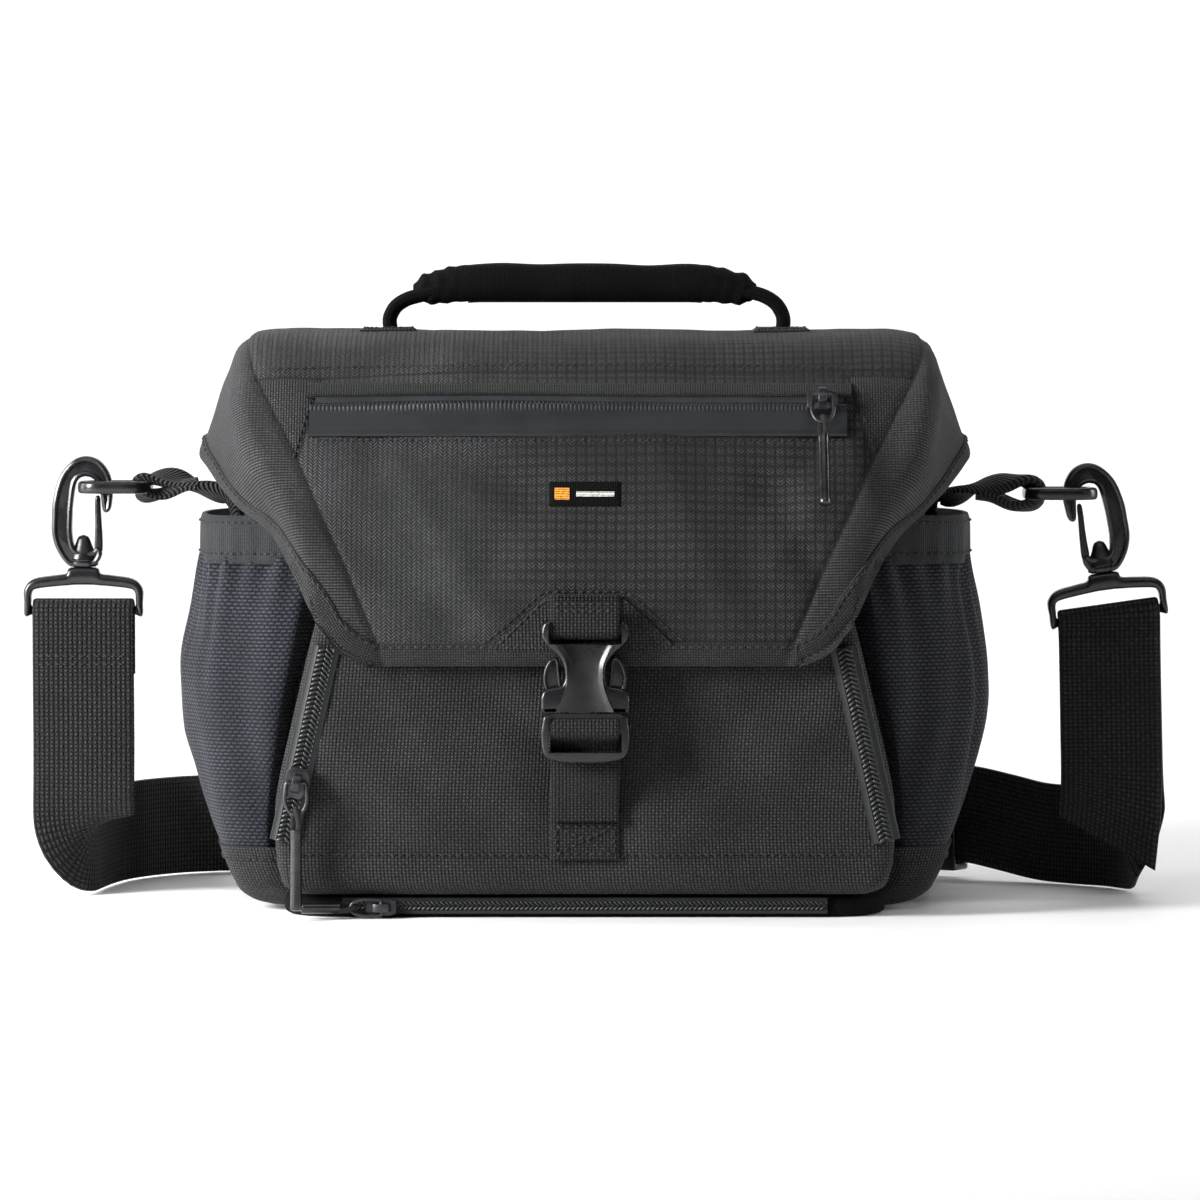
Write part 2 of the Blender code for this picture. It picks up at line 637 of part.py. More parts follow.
def build_plug():
    """The moving half: a block with a bar for the webbing, a middle tongue and two sprung prongs."""
    front, back = BUCKLE_Y - BUCKLE_HALF_THICK, BUCKLE_Y + BUCKLE_HALF_THICK
    tongue = [(2.3, PLUG_TOP), (1.7, 93), (-1.7, 93), (-2.3, PLUG_TOP)]
    outline = [(-15.6, 58.5), (15.6, 58.5), (15.6, 66), (14.6, PLUG_TOP), *tongue, (-14.6, PLUG_TOP),
               (-15.6, 66)]
    origin = (0, BUCKLE_Y, PLUG_TOP)
    plug = prism("buckle_plug", outline, front, back, "plastic", axis="Y", origin=origin)
    window = box("plug_window", (-13.2, front - 5, 61.6), (13.2, back + 5, 66.5), "plastic")
    ahead = box("plug_bar_front", (-13.2, front - 5, 50), (13.2, BUCKLE_Y - 1.5, 66.4), "plastic")
    behind = box("plug_bar_back", (-13.2, BUCKLE_Y + 1.5, 50), (13.2, back + 5, 66.4), "plastic")
    thin_front = box("tongue_front", (-5, front - 5, PLUG_TOP), (5, BUCKLE_Y - 1.9, 100), "plastic")
    thin_back = box("tongue_back", (-5, BUCKLE_Y + 1.9, PLUG_TOP), (5, back + 5, 100), "plastic")
    cut(plug, window, ahead, behind, thin_front, thin_back)
    prong = [(5.6, PLUG_TOP + GAP), (8.4, PLUG_TOP + GAP), (8.7, 81), (13.4, 81.8), (14.2, 86.2),
             (12.6, 90.6), (8.6, 93.6), (6.2, 93.6), (5.9, 82)]
    for name, sign in (("buckle_prong_left", -1), ("buckle_prong_right", 1)):
        line = [(sign * x, z) for x, z in prong]
        prism(name, line, BUCKLE_Y - 2.2, BUCKLE_Y + 2.2, "plastic", axis="Y",
              origin=(sign * 7, BUCKLE_Y, PLUG_TOP + 0.8))


def build_lower_webs():
    """Webbing sewn to the front pocket, and the loop over the plug's bar, whose tail slides down over it."""
    face = POCKET_LEVELS[3][2] - GAP - WEB_THICK / 2
    sewn = [(face, 22), (face, 33), (face, 44)]
    prism("lower_web", thickened(sewn, WEB_THICK), -WEB_HALF, WEB_HALF, "webbing", axis="X")
    radius, bar, tail = BUCKLE_LOOP, (BUCKLE_Y, 60), face - GAP - WEB_THICK
    loop = [(tail, 36), (tail, 42), (tail - 2, 47), (bar[0] + radius + 1.2, 51), (bar[0] + radius, 55),
            *arc(bar, radius, 0, 180, 6), (bar[0] - radius, 52), (bar[0] - radius, 46)]
    prism("plug_web", thickened(loop, WEB_THICK), -WEB_HALF, WEB_HALF, "webbing", axis="X",
          origin=(0, BUCKLE_Y, PLUG_TOP))


# --- strap and its hardware ------------------------------------------------------------------------


def hook_frame(side):
    """Frame of a snap hook's swivel: Z up its stem, X across, mirrored on the right."""
    if side < 0:
        return Matrix.Translation(LEFT_HOOK)
    lean = Matrix.Rotation(-RIGHT_TILT, 4, "Y")
    return Matrix.Translation(RIGHT_HOOK) @ lean @ Matrix.Scale(-1, 4, (1, 0, 0))


HOOK_OUTLINE = ((-5.4, 1.2), (-9.6, 6.7), (-11.6, 13), (-11.2, 26), (-9.3, 33.5), (-6.4, 38.2),
                (-2.6, 41.4), (1.5, 42.3), (6.0, 40.8), (9.5, 36.5), (11.0, 31), (10.6, 24), (9.0, 21.3),
                (7.0, 22.0), (6.6, 28), (5.4, 32), (3.0, 34.3), (0, 34.6), (-2.6, 32.4), (-3.8, 25),
                (-4.2, 13), (-3.2, 7.6), (3.6, 5.4), (3.8, 1.2))
GATE_PIVOT = (5.6, 7.2)
GATE_OUTLINE = ((4.4, 6.0), (6.4, 5.9), (7.2, 7.4), (6.5, 20), (6.0, 27.4), (4.5, 27.4), (4.5, 20),
                (4.2, 7.6))


def build_hook(word, side):
    frame = hook_frame(side)
    origin = frame.translation
    hook = prism(f"snap_hook_{word}", HOOK_OUTLINE, -3.3, 3.3, "plastic", axis="Y", frame=frame,
                 origin=origin)
    add_bevel(hook, 0.7, 1)
    pivot = frame @ Vector((GATE_PIVOT[0], 0, GATE_PIVOT[1]))
    prism(f"hook_gate_{word}", GATE_OUTLINE, -2.4, 2.4, "plastic", axis="Y", frame=frame, origin=pivot)


def build_yoke(word, side):
    """Swivel collar and frame that hold the webbing, as one closed loop of outer and inner corners."""
    frame = hook_frame(side)
    low, slot = -YOKE_BAR_DROP - YOKE_BAR_HALF, -YOKE_BAR_DROP + YOKE_BAR_HALF
    half = [((0, low), (0, slot), YOKE_BAR_HALF), ((19, low), (19, slot), YOKE_BAR_HALF),
            ((21.9, low - 1.2), (19.8, slot + 0.6), 3.2), ((21.7, -8.4), (19.6, -8.6), 3.2),
            ((18.8, -4.6), (18.2, -7.2), 3.2), ((5.8, -2.6), (6, -6.2), 3.2), ((4.5, 0.8), (3, -6), 3.2)]
    loop = half + [((-a[0], a[1]), (-b[0], b[1]), thick) for a, b, thick in half[:0:-1]]
    rings = [[frame @ Vector((a[0], -thick, a[1])), frame @ Vector((a[0], thick, a[1])),
              frame @ Vector((b[0], thick, b[1])), frame @ Vector((b[0], -thick, b[1]))]
             for a, b, thick in loop]
    loft(f"strap_yoke_{word}", rings, "plastic", closed=True)


def ring_height(side):
    return (hook_frame(side) @ Vector((0, 0, EYE_HEIGHT))).z


def ring_outer_x(side):
    return (hook_frame(side) @ Vector((0, 0, EYE_HEIGHT))).x


def build_ring(word, side):
    outer, z = ring_outer_x(side), ring_height(side)
    inner = outer - side * RING_REACH
    middle, half_x, half_y, corner = (outer + inner) / 2, RING_REACH / 2, 12.5, 5.0
    plan = rounded_rectangle(half_x, STRAP_Y - half_y, STRAP_Y + half_y, corner, 3)
    rings = []
    path = [Vector((middle + x, y, z)) for x, y in plan]
    for point, along in zip(path, directions(path, closed=True)):
        away = along.cross(Vector((0, 0, 1)))
        rings.append([point + away * a + Vector((0, 0, b)) for a, b in
                      ((-1.6, -1.2), (-0.8, -2.3), (0.8, -2.3), (1.6, -1.2), (1.6, 1.2), (0.8, 2.3),
                       (-0.8, 2.3), (-1.6, 1.2))])
    loft(f"strap_ring_{word}", rings, "plastic", closed=True, origin=(inner, STRAP_Y, z))


def build_anchor_web(word, side):
    """Webbing sewn to the tub's side and looped round the ring's inner bar."""
    z = ring_height(side)
    bar_x = abs(ring_outer_x(side)) - RING_REACH
    radius = 3.6
    start = BODY_HALF + SIDE_GAP + SIDE_LINING + 1.2
    line = [(start, 130), (start, 144), (start + 2.5, 150), (start + 8, z - 1.5), (bar_x - 14, z + 2.4),
            (bar_x - 7, z + radius), *arc((bar_x, z), radius, 90, -90, 6), (bar_x - 6, z - radius)]
    outline = [(side * x, height) for x, height in thickened(line, 1.8)]
    prism(f"anchor_web_{word}", outline, STRAP_Y - 8, STRAP_Y + 8, "webbing", axis="Y")


# Route of the webbing from yoke to yoke: (x, y, z of its middle, how far its width has turned upright)
STRAP_ROUTE = ((-188, 1.5, 104, 0), (-188, 2.0, 82, 0), (-188, 3.2, 60, 0), (-188.2, 5.0, 44, 0),
               (-188.5, 8.5, 30, 0.3), (-188, 15, 22, 0.72), (-186, 26, 19.8, 1), (-183, 50, 19.6, 1),
               (-176, 82, 19.6, 1), (-158, 110, 19.6, 1), (-128, 124, 19.6, 1), (-90, 131, 19.6, 1),
               (-45, 134, 19.6, 1), (0, 134, 19.6, 1), (45, 132, 19.6, 1), (88, 124, 19.8, 1),
               (122, 107, 25.2, 1), (150, 88, 25.2, 1), (176, 70, 20, 1), (198, 50, 19.6, 1),
               (206, 32, 20, 1), (203, 16, 23, 0.72), (199.5, 8.5, 32, 0.3), (198.2, 5.0, 46, 0),
               (197.6, 3.2, 62, 0), (197, 2.0, 82, 0), (196.6, 1.5, 102, 0))
RETURN_STATIONS = 20
RETURN_GAP = 3.1


def strap_stations():
    """The webbing's middle line, each point with the direction of its width."""
    places = smooth_path([stop[:3] for stop in STRAP_ROUTE], 2)
    turns = smooth_path([(stop[3], 0, 0) for stop in STRAP_ROUTE], 2)
    stations = []
    for i, (point, along, turn) in enumerate(zip(places, directions(places), turns)):
        flat = Vector((1 if i < len(places) // 2 else -1, 0, 0))
        wide = flat.lerp(Vector((0, 0, 1)), min(max(turn.x, 0), 1))
        wide = (wide - along * wide.dot(along)).normalized()
        stations.append((point, wide))
    return stations


def yoke_loop(side, steps=6):
    """Webbing over a yoke's bar, from its front layer to its back layer."""
    frame = hook_frame(side)
    radius = YOKE_BAR_HALF * 1.45 + GAP + STRAP_THICK / 2
    wide = (frame.to_3x3() @ Vector((1, 0, 0))).normalized()
    stations = []
    for i in range(steps + 1):
        angle = math.pi * (1 - i / steps)
        offset = Vector((0, radius * math.cos(angle), -YOKE_BAR_DROP + radius * math.sin(angle)))
        stations.append((frame @ offset, wide))
    return stations


def ribbon_rings(stations, width, thick):
    rings = []
    for (point, wide), along in zip(stations, directions([s[0] for s in stations])):
        out = along.cross(wide).normalized()
        rings.append([point - wide * width / 2 - out * thick / 2, point + wide * width / 2 - out * thick / 2,
                      point + wide * width / 2 + out * thick / 2, point - wide * width / 2 + out * thick / 2])
    return rings


def beside(stations, distance):
    """The same stations moved off the webbing's face, away from the bag behind it."""
    moved = []
    for (point, wide), along in zip(stations, directions([s[0] for s in stations])):
        moved.append((point - along.cross(wide).normalized() * distance, wide))
    return moved


def build_strap():
    """One webbing: sewn behind the left yoke, over its bar, round the floor, over the right bar and back."""
    route = strap_stations()
    left, right = yoke_loop(-1), yoke_loop(1)
    sewn = (left[-1][0] - Vector((0, -0.4, 24)), left[-1][1])
    back = beside(route, RETURN_GAP)[:-RETURN_STATIONS:-1]
    hanging = [(point + Vector((0, max(0, (point.z - 40) * 0.05), 0)), wide) for point, wide in back[1:]]
    loft("strap_web", ribbon_rings([sewn, *left[::-1], *route, *right, *hanging], STRAP_WIDTH, STRAP_THICK),
         "webbing", smooth=50)
    build_strap_pad(route)
    build_adjuster(beside(route, RETURN_GAP / 2)[-RETURN_STATIONS])


def build_strap_pad(route):
    behind = [station for station in route if station[0].y > 100 and abs(station[0].x) < 100]
    away = (STRAP_THICK + PAD_THICK) / 2 + 0.5
    raised = [(point + Vector((0, 0, PAD_WIDTH / 2 + GAP * 2 - point.z)), Vector((0, 0, 1)))
              for point, _ in beside(behind, away)]
    pad = loft("shoulder_pad", ribbon_rings(raised, PAD_WIDTH, PAD_THICK), "body_fabric", smooth=50)
    add_bevel(pad, 2, 1)


def build_adjuster(station):
    """Slide buckle round both layers of the webbing."""
    point, wide = station
    along = Vector((wide.y, -wide.x, 0)) if abs(wide.z) < 0.5 else Vector((-19, 12.5, 0)).normalized()
    out = along.cross(wide).normalized()
    high, deep, wall, reach = STRAP_WIDTH / 2 + 1.2, STRAP_THICK / 2 + RETURN_GAP / 2 + 0.9, 2.6, 11
    rings = []
    for a, b in ((1, 1), (-1, 1), (-1, -1), (1, -1)):
        inner = point + wide * a * high + out * b * deep
        outer = point + wide * a * (high + wall) + out * b * (deep + wall * 0.7)
        rings.append([inner - along * reach, outer - along * reach, outer + along * reach,
                      inner + along * reach])
    loft("strap_adjuster", rings, "plastic", closed=True)


def main():
    clear_scene()
    build_tub()
    build_pouch()
    build_inside()
    build_back_panel()
    build_front_pocket()
    build_pocket_zips()
    build_side_pockets()
    build_main_zip()
    build_rain_zip()
    build_flap()
    build_flap_zip()
    build_label()
    build_handle()
    build_zip_runners()
    build_buckle_web()
    build_socket()
    build_plug()
    build_lower_webs()
    for word, side in (("left", -1), ("right", 1)):
        build_hook(word, side)
        build_yoke(word, side)
        build_ring(word, side)
        build_anchor_web(word, side)
    build_strap()


main()
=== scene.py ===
"""Camera shoulder bag: the looks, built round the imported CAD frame.

Lengths are millimetres until a mesh is made, apart from the camera's, the floor's and the lights'.
"""

import json
import math

import bmesh
import bpy
import numpy as np
from mathutils import Matrix, Vector
from mathutils.bvhtree import BVHTree

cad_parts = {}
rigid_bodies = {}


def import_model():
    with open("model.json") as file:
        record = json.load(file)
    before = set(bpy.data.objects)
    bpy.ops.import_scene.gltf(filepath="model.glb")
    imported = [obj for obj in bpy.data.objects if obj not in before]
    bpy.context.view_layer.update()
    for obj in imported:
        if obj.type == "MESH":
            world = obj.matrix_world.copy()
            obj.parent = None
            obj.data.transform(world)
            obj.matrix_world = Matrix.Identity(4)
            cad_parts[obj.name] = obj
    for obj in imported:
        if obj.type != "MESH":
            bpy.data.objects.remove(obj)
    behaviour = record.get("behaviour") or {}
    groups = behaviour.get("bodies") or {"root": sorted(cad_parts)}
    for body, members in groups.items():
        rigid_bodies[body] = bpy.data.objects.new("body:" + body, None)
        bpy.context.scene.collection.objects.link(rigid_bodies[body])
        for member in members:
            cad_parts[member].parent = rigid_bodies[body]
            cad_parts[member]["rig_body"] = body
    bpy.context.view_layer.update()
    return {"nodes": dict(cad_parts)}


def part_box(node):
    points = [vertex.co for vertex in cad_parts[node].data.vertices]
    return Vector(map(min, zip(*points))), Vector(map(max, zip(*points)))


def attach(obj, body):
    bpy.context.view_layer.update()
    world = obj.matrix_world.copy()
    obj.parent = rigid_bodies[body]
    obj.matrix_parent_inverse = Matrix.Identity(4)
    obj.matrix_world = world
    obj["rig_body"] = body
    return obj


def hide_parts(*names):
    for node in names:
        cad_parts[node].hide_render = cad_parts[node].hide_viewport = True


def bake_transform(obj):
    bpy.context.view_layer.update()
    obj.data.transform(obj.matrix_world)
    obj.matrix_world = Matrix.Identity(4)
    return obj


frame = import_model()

MM = 0.001
TAU = 2 * math.pi
NODES = frame["nodes"]


# --- camera, floor and light ----------------------------------------------------------------------

SENSOR_WIDTH = 36
FOCAL_LENGTH = 191.7
CAMERA_AT = (0, -2.39, 0.212)
CAMERA_TURN = (87.61, 0, -0.1345)
FLOOR_PROFILE = ((-6, 0), (2.2, 0), (2.6, 0.05), (2.9, 0.18), (3.1, 0.42), (3.2, 0.8), (3.2, 3.5))
FLOOR_HALF_WIDTH = 5
WORLD_STRENGTH = 0.11
# Each area light: where it is, where it aims, its two sizes and its power
LIGHTS = {
    "key": ((-0.85, -0.55, 0.42), (0, 0, 0.1), (0.3, 0.45), 25),
    "fill": ((1.7, -1.5, 0.8), (0, 0, 0.1), (0.5, 1.2), 1.5),
    "top": ((-0.4, 0.4, 1.9), (0, 0, 0.1), (1.2, 0.6), 1.5),
    "strip_left": ((-1.5, 0.15, 0.35), (0, 0, 0.12), (0.25, 1.1), 16),
    "strip_right": ((1.5, 0.15, 0.35), (0, 0, 0.12), (0.25, 1.1), 12),
    "backdrop": ((0, 1.3, 2.6), (0, 3.2, 0.9), (3.0, 0.8), 78),
    "floor_glow": ((0, -1.9, 2.4), (0, -1.2, 0), (2.6, 1.4), 16),
}


def linked(name, data):
    """A new object in the scene."""
    made = bpy.data.objects.new(name, data)
    bpy.context.scene.collection.objects.link(made)
    return made


def add_camera():
    data = bpy.data.cameras.new("camera")
    data.sensor_width = SENSOR_WIDTH
    data.lens = FOCAL_LENGTH
    data.clip_start = 0.05
    camera = linked("camera", data)
    camera.location = CAMERA_AT
    camera.rotation_euler = [math.radians(turn) for turn in CAMERA_TURN]
    bpy.context.scene.camera = camera


def add_light(name, place, aim, size, power):
    data = bpy.data.lights.new(name, "AREA")
    data.shape = "RECTANGLE"
    data.size, data.size_y = size
    data.energy = power
    light = linked(name, data)
    light.location = place
    light.rotation_euler = (Vector(aim) - Vector(place)).to_track_quat("-Z", "Y").to_euler()


def add_floor():
    """A pale floor that curves up into a backdrop."""
    points = [(x, y, z) for y, z in FLOOR_PROFILE for x in (-FLOOR_HALF_WIDTH, FLOOR_HALF_WIDTH)]
    faces = [(2 * i, 2 * i + 1, 2 * i + 3, 2 * i + 2) for i in range(len(FLOOR_PROFILE) - 1)]
    mesh = bpy.data.meshes.new("floor")
    mesh.from_pydata(points, [], faces)
    mesh.shade_smooth()
    mesh.materials.append(Paint("floor_paint").finish((0.92, 0.92, 0.92), 0.6))
    linked("floor", mesh)


def add_studio():
    world = bpy.data.worlds.new("studio")
    bpy.context.scene.world = world
    world.use_nodes = True
    background = world.node_tree.nodes["Background"]
    background.inputs["Color"].default_value = (1, 1, 1, 1)
    background.inputs["Strength"].default_value = WORLD_STRENGTH
    for name, light in LIGHTS.items():
        add_light(name, *light)
    view = bpy.context.scene.view_settings
    view.view_transform = "Standard"
    view.look = "None"


# --- materials ------------------------------------------------------------------------------------


class Paint:
    """Builds one node material: sockets and numbers both go in, and sockets come out."""

    def __init__(self, name, metallic=0.0, sheen=0.0, coat=0.0, specular=0.5):
        self.material = bpy.data.materials.new(name)
        self.material.use_nodes = True
        self.tree = self.material.node_tree
        self.shader = self.tree.nodes["Principled BSDF"]
        self.shader.inputs["Metallic"].default_value = metallic
        self.shader.inputs["Sheen Weight"].default_value = sheen
        self.shader.inputs["Sheen Roughness"].default_value = 0.45
        self.shader.inputs["Coat Weight"].default_value = coat
        self.shader.inputs["Coat Roughness"].default_value = 0.25
        self.shader.inputs["Specular IOR Level"].default_value = specular

    def node(self, kind, out=0, settings=(), **values):
        made = self.tree.nodes.new(kind)
        for key, value in settings:
            setattr(made, key, value)
        for key, value in values.items():
            numbered = key[0] == "i" and key[1:].isdigit()
            self.feed(made.inputs[int(key[1:]) if numbered else key], value)
        return made.outputs[out]

    def feed(self, socket, value):
        if isinstance(value, bpy.types.NodeSocket):
            self.tree.links.new(value, socket)
        else:
            socket.default_value = value

    def math(self, operation, a, b=0.0, c=0.0):
        return self.node("ShaderNodeMath", settings=[("operation", operation)], i0=a, i1=b, i2=c)

    def times(self, a, b):
        return self.math("MULTIPLY", a, b)

    def plus(self, a, b):
        return self.math("ADD", a, b)

    def mix(self, share, a, b):
        """a where share is 0, b where it is 1, for numbers."""
        return self.node("ShaderNodeMix", settings=[("data_type", "FLOAT")], i0=share, i2=a, i3=b)

    def tint(self, share, a, b):
        """Colour a where share is 0, colour b where it is 1, and brighter still above that."""
        made = self.tree.nodes.new("ShaderNodeMix")
        made.data_type = "RGBA"
        made.clamp_factor = False
        for socket, value in ((made.inputs[0], share), (made.inputs[6], a), (made.inputs[7], b)):
            self.feed(socket, (*value, 1) if isinstance(value, tuple) and len(value) == 3 else value)
        return made.outputs[2]

    def field(self, name):
        """The three numbers of a point attribute, in millimetres."""
        vector = self.node("ShaderNodeAttribute", out=1, settings=[("attribute_name", name)])
        split = self.tree.nodes.new("ShaderNodeSeparateXYZ")
        self.tree.links.new(vector, split.inputs[0])
        return split.outputs[:]

    def noise(self, size, detail=2.0, stretch=(1, 1, 1)):
        """Noise with features of about this many millimetres."""
        place = self.node("ShaderNodeTexCoord", out=3)
        scale = tuple(1 / (size * MM * share) for share in stretch)
        scaled = self.node("ShaderNodeMapping", Vector=place, Scale=scale)
        return self.node("ShaderNodeTexNoise", Vector=scaled, Scale=1.0, Detail=detail)

    def ramp(self, value, low, high, to_low=0.0, to_high=1.0):
        made = self.tree.nodes.new("ShaderNodeMapRange")
        made.interpolation_type = "SMOOTHSTEP"
        for socket, number in zip(made.inputs[:5], (value, low, high, to_low, to_high)):
            self.feed(socket, number)
        return made.outputs[0]

    def thread(self, along, pitch):
        """A rounded ridge every pitch, from 0 in the gap to 1 on top."""
        return self.math("ABSOLUTE", self.math("SINE", self.times(along, math.pi / pitch)))

    def parity(self, *lengths):
        total = 0.0
        for value, pitch in lengths:
            total = self.plus(total, self.math("FLOOR", self.math("DIVIDE", value, pitch)))
        return self.math("ABSOLUTE", self.math("MODULO", total, 2.0))

    def plain_weave(self, u, v, pitch, pitch_v=None):
        """Threads over and under: each crossing is a small pillow, long along the thread on top."""
        pitch_v = pitch_v or pitch
        on_top = self.parity((u, pitch), (v, pitch_v))
        across, along = self.thread(u, pitch), self.thread(v, pitch_v)
        soft_across = self.math("POWER", across, 0.45)
        soft_along = self.math("POWER", along, 0.45)
        warp = self.times(across, soft_along)
        weft = self.times(along, self.times(soft_across, 0.85))
        return self.mix(on_top, warp, weft)

    def herringbone(self, u, v, pitch, column):
        """Slanted floats whose slope turns over from column to column."""
        way = self.math("SUBTRACT", self.times(self.parity((u, column)), 2.0), 1.0)
        slant = self.plus(v, self.times(u, way))
        ribs = self.thread(slant, pitch)
        breaks = self.math("POWER", self.thread(u, column), 0.25)
        return self.times(ribs, breaks)

    def knit(self, u, v, long, row):
        """Rows of short dashes, each row shifted by half a dash."""
        shift = self.times(self.parity((v, row)), long / 2)
        dash = self.thread(self.plus(u, shift), long)
        return self.times(self.math("POWER", dash, 0.35), self.thread(v, row))

    def bump(self, height, depth, strength=1.0):
        return self.node("ShaderNodeBump", Height=height, Distance=depth * MM, Strength=strength)

    def finish(self, colour, roughness, normal=None):
        colour = (*colour, 1) if isinstance(colour, tuple) else colour
        self.feed(self.shader.inputs["Base Color"], colour)
        self.feed(self.shader.inputs["Roughness"], roughness)
        if normal is not None:
            self.feed(self.shader.inputs["Normal"], normal)
        return self.material


def worn(paint, colour, low=0.82, high=1.2, size=22):
    """The colour made a little lighter and darker from place to place."""
    patch = paint.ramp(paint.noise(size, 3), 0.3, 0.7)
    dark, light = tuple(c * low for c in colour), tuple(c * high for c in colour)
    return paint.tint(patch, dark, light)


def woven(name, colour, height_of, depth, roughness=0.82, painted_gap_shade=0.35, sheen=0.04, specular=0.24):
    """A cloth whose threads stand out of dark gaps: painted shade in the gaps and a painted highlight on the
    thread tops. height_of takes the paint and the weave's u and v.
    """
    paint = Paint(name, sheen=sheen, specular=specular)
    u, v, _ = paint.field("weave")
    height = height_of(paint, u, v)
    fuzz = paint.noise(0.7)
    body = worn(paint, colour)
    # Painted shade and highlight: the gaps are darkened and the thread tops are lifted above the cloth's
    # colour, with fibre tone on top.
    shade = paint.math("MULTIPLY_ADD", paint.math("POWER", height, 2.4), 2.6 - 2 * painted_gap_shade, painted_gap_shade * 0.5)
    shade = paint.times(shade, paint.ramp(fuzz, 0.25, 0.75, 0.5, 1.5))
    # The painted shade colour of the gaps between threads.
    dark = tuple(c * 0.08 for c in colour)
    normal = paint.bump(paint.plus(height, paint.times(fuzz, 0.35)), depth)
    body = paint.tint(shade, dark, body)
    return paint.finish(body, paint.ramp(height, 0, 1, roughness + 0.1, roughness - 0.08), normal)


def flap_cloth():
    """Herringbone that turns into small squares, with ribbed wedges at the sides and dark seams between. The
    threads carry painted shade in their gaps and a painted highlight on their tops.
    """
    paint = Paint("flap_cloth", sheen=0.04, specular=0.3)
    u, v, side = paint.field("weave")
    wedge, corner, yoke = paint.field("marks")
    turn = paint.ramp(paint.plus(side, paint.times(paint.noise(26), 50)), -30, 30)
    cells = paint.math("POWER", paint.times(paint.thread(u, 3.6), paint.thread(v, 3.6)), 0.4)
    middle = paint.times(paint.herringbone(u, v, 1.3, 1.8), paint.mix(turn, 1.0, cells))
    ridges = paint.times(paint.thread(v, 1.05), paint.math("MULTIPLY_ADD", paint.thread(u, 1.2), 0.3, 0.7))
    small = paint.plain_weave(u, v, 1.0)
    in_corner = paint.times(paint.ramp(corner, -0.05, 0.05), paint.ramp(yoke, 0.05, -0.05))
    height = paint.mix(in_corner, middle, small)
    height = paint.mix(paint.ramp(wedge, -0.05, 0.05), height, ridges)
    away_from_wedge = paint.ramp(paint.math("ABSOLUTE", wedge), 0.25, 0.8)
    inside = paint.ramp(wedge, 0.05, -0.05)
    near_corner = paint.times(inside, paint.ramp(yoke, 0.05, -0.05))
    corner_line = paint.mix(near_corner, 1.0, paint.ramp(paint.math("ABSOLUTE", corner), 0.2, 0.6))
    yoke_line = paint.mix(inside, 1.0, paint.ramp(paint.math("ABSOLUTE", yoke), 0.2, 0.6))
    open_cloth = paint.times(away_from_wedge, paint.times(corner_line, yoke_line))
    fuzz = paint.noise(0.8)
    colour = worn(paint, (0.0225, 0.023, 0.0245), 0.72, 1.28, 34)
    # Painted shade in the gaps between threads and a painted highlight on the thread tops.
    shade = paint.math("MULTIPLY_ADD", paint.math("POWER", height, 3.0), 2.9, 0.06)
    shade = paint.times(shade, paint.ramp(fuzz, 0.25, 0.75, 0.45, 1.55))
    shade = paint.times(shade, paint.math("MULTIPLY_ADD", open_cloth, 0.92, 0.08))
    shade = paint.times(shade, paint.ramp(wedge, -0.05, 0.05, 1.0, 0.74))
    normal = paint.bump(paint.plus(height, paint.times(fuzz, 0.3)), 0.4)
    # The gaps' painted shade is this near-black; the thread tops reach the cloth's colour and above.
    return paint.finish(paint.tint(shade, (0.003, 0.003, 0.003), colour),
                        paint.ramp(height, 0, 1, 0.9, 0.7), normal)


def moulded(name, colour, roughness, grain=0.5, coat=0.0, pale_edge_share=0.7):
    """Plastic with a fine spark-eroded grain, a little smoother on its edges and paler there: partly wear,
    partly a painted highlight on the rims.
    """
    paint = Paint(name, coat=coat)
    fine = paint.noise(grain, 3)
    edge = paint.node("ShaderNodeNewGeometry", out=7)
    # Sharp edges, found by pointiness: worn, and paler with a painted highlight.
    edge_wear_and_highlight = paint.ramp(edge, 0.52, 0.66)
    # The edges' pale colour: wear and a painted highlight.
    pale = tuple(c * 3.0 + 0.012 for c in colour)
    body = paint.tint(paint.times(edge_wear_and_highlight, pale_edge_share), worn(paint, colour, 0.88, 1.12, 9), pale)
    rough = paint.plus(paint.ramp(paint.noise(6, 3), 0.2, 0.8, roughness - 0.06, roughness + 0.08),
                       paint.times(edge_wear_and_highlight, -0.08))
    return paint.finish(body, rough, paint.bump(fine, 0.05, 0.6))


def coated_tape(name, colour, ribs=None):
    """Coated tape: smooth, with faint creases and, where it folds over the teeth, small ribs."""
    paint = Paint(name, coat=0.05, specular=0.35)
    u, v, _ = paint.field("weave")
    fine = paint.noise(1.2, 3)
    height = paint.times(fine, 0.3)
    if ribs:
        pitch, start, end = ribs
        near = paint.ramp(v, start, end, 1.0, 0.0)
        height = paint.plus(height, paint.times(paint.thread(u, pitch), near))
    return paint.finish(worn(paint, colour, 0.8, 1.25, 14), paint.ramp(fine, 0.2, 0.8, 0.42, 0.58),
                        paint.bump(height, 0.18))


def metal(name, colour):
    paint = Paint(name, metallic=0.85)
    scratch = paint.noise(1.6, 4, (4, 1, 1))
    body = worn(paint, colour, 0.8, 1.25, 5)
    return paint.finish(body, paint.ramp(scratch, 0.2, 0.8, 0.24, 0.44), paint.bump(scratch, 0.03, 0.5))


PAINTS = {}


def plain(pitch, pitch_v=None):
    return lambda paint, u, v: paint.plain_weave(u, v, pitch, pitch_v)


def ribs(pitch):
    return lambda paint, u, v: paint.thread(v, pitch)


def dashes(long, row):
    return lambda paint, u, v: paint.knit(u, v, long, row)


def slanted(pitch):
    return lambda paint, u, v: paint.thread(paint.plus(u, v), pitch)


def braided(pitch, column):
    return lambda paint, u, v: paint.herringbone(u, v, pitch, column)


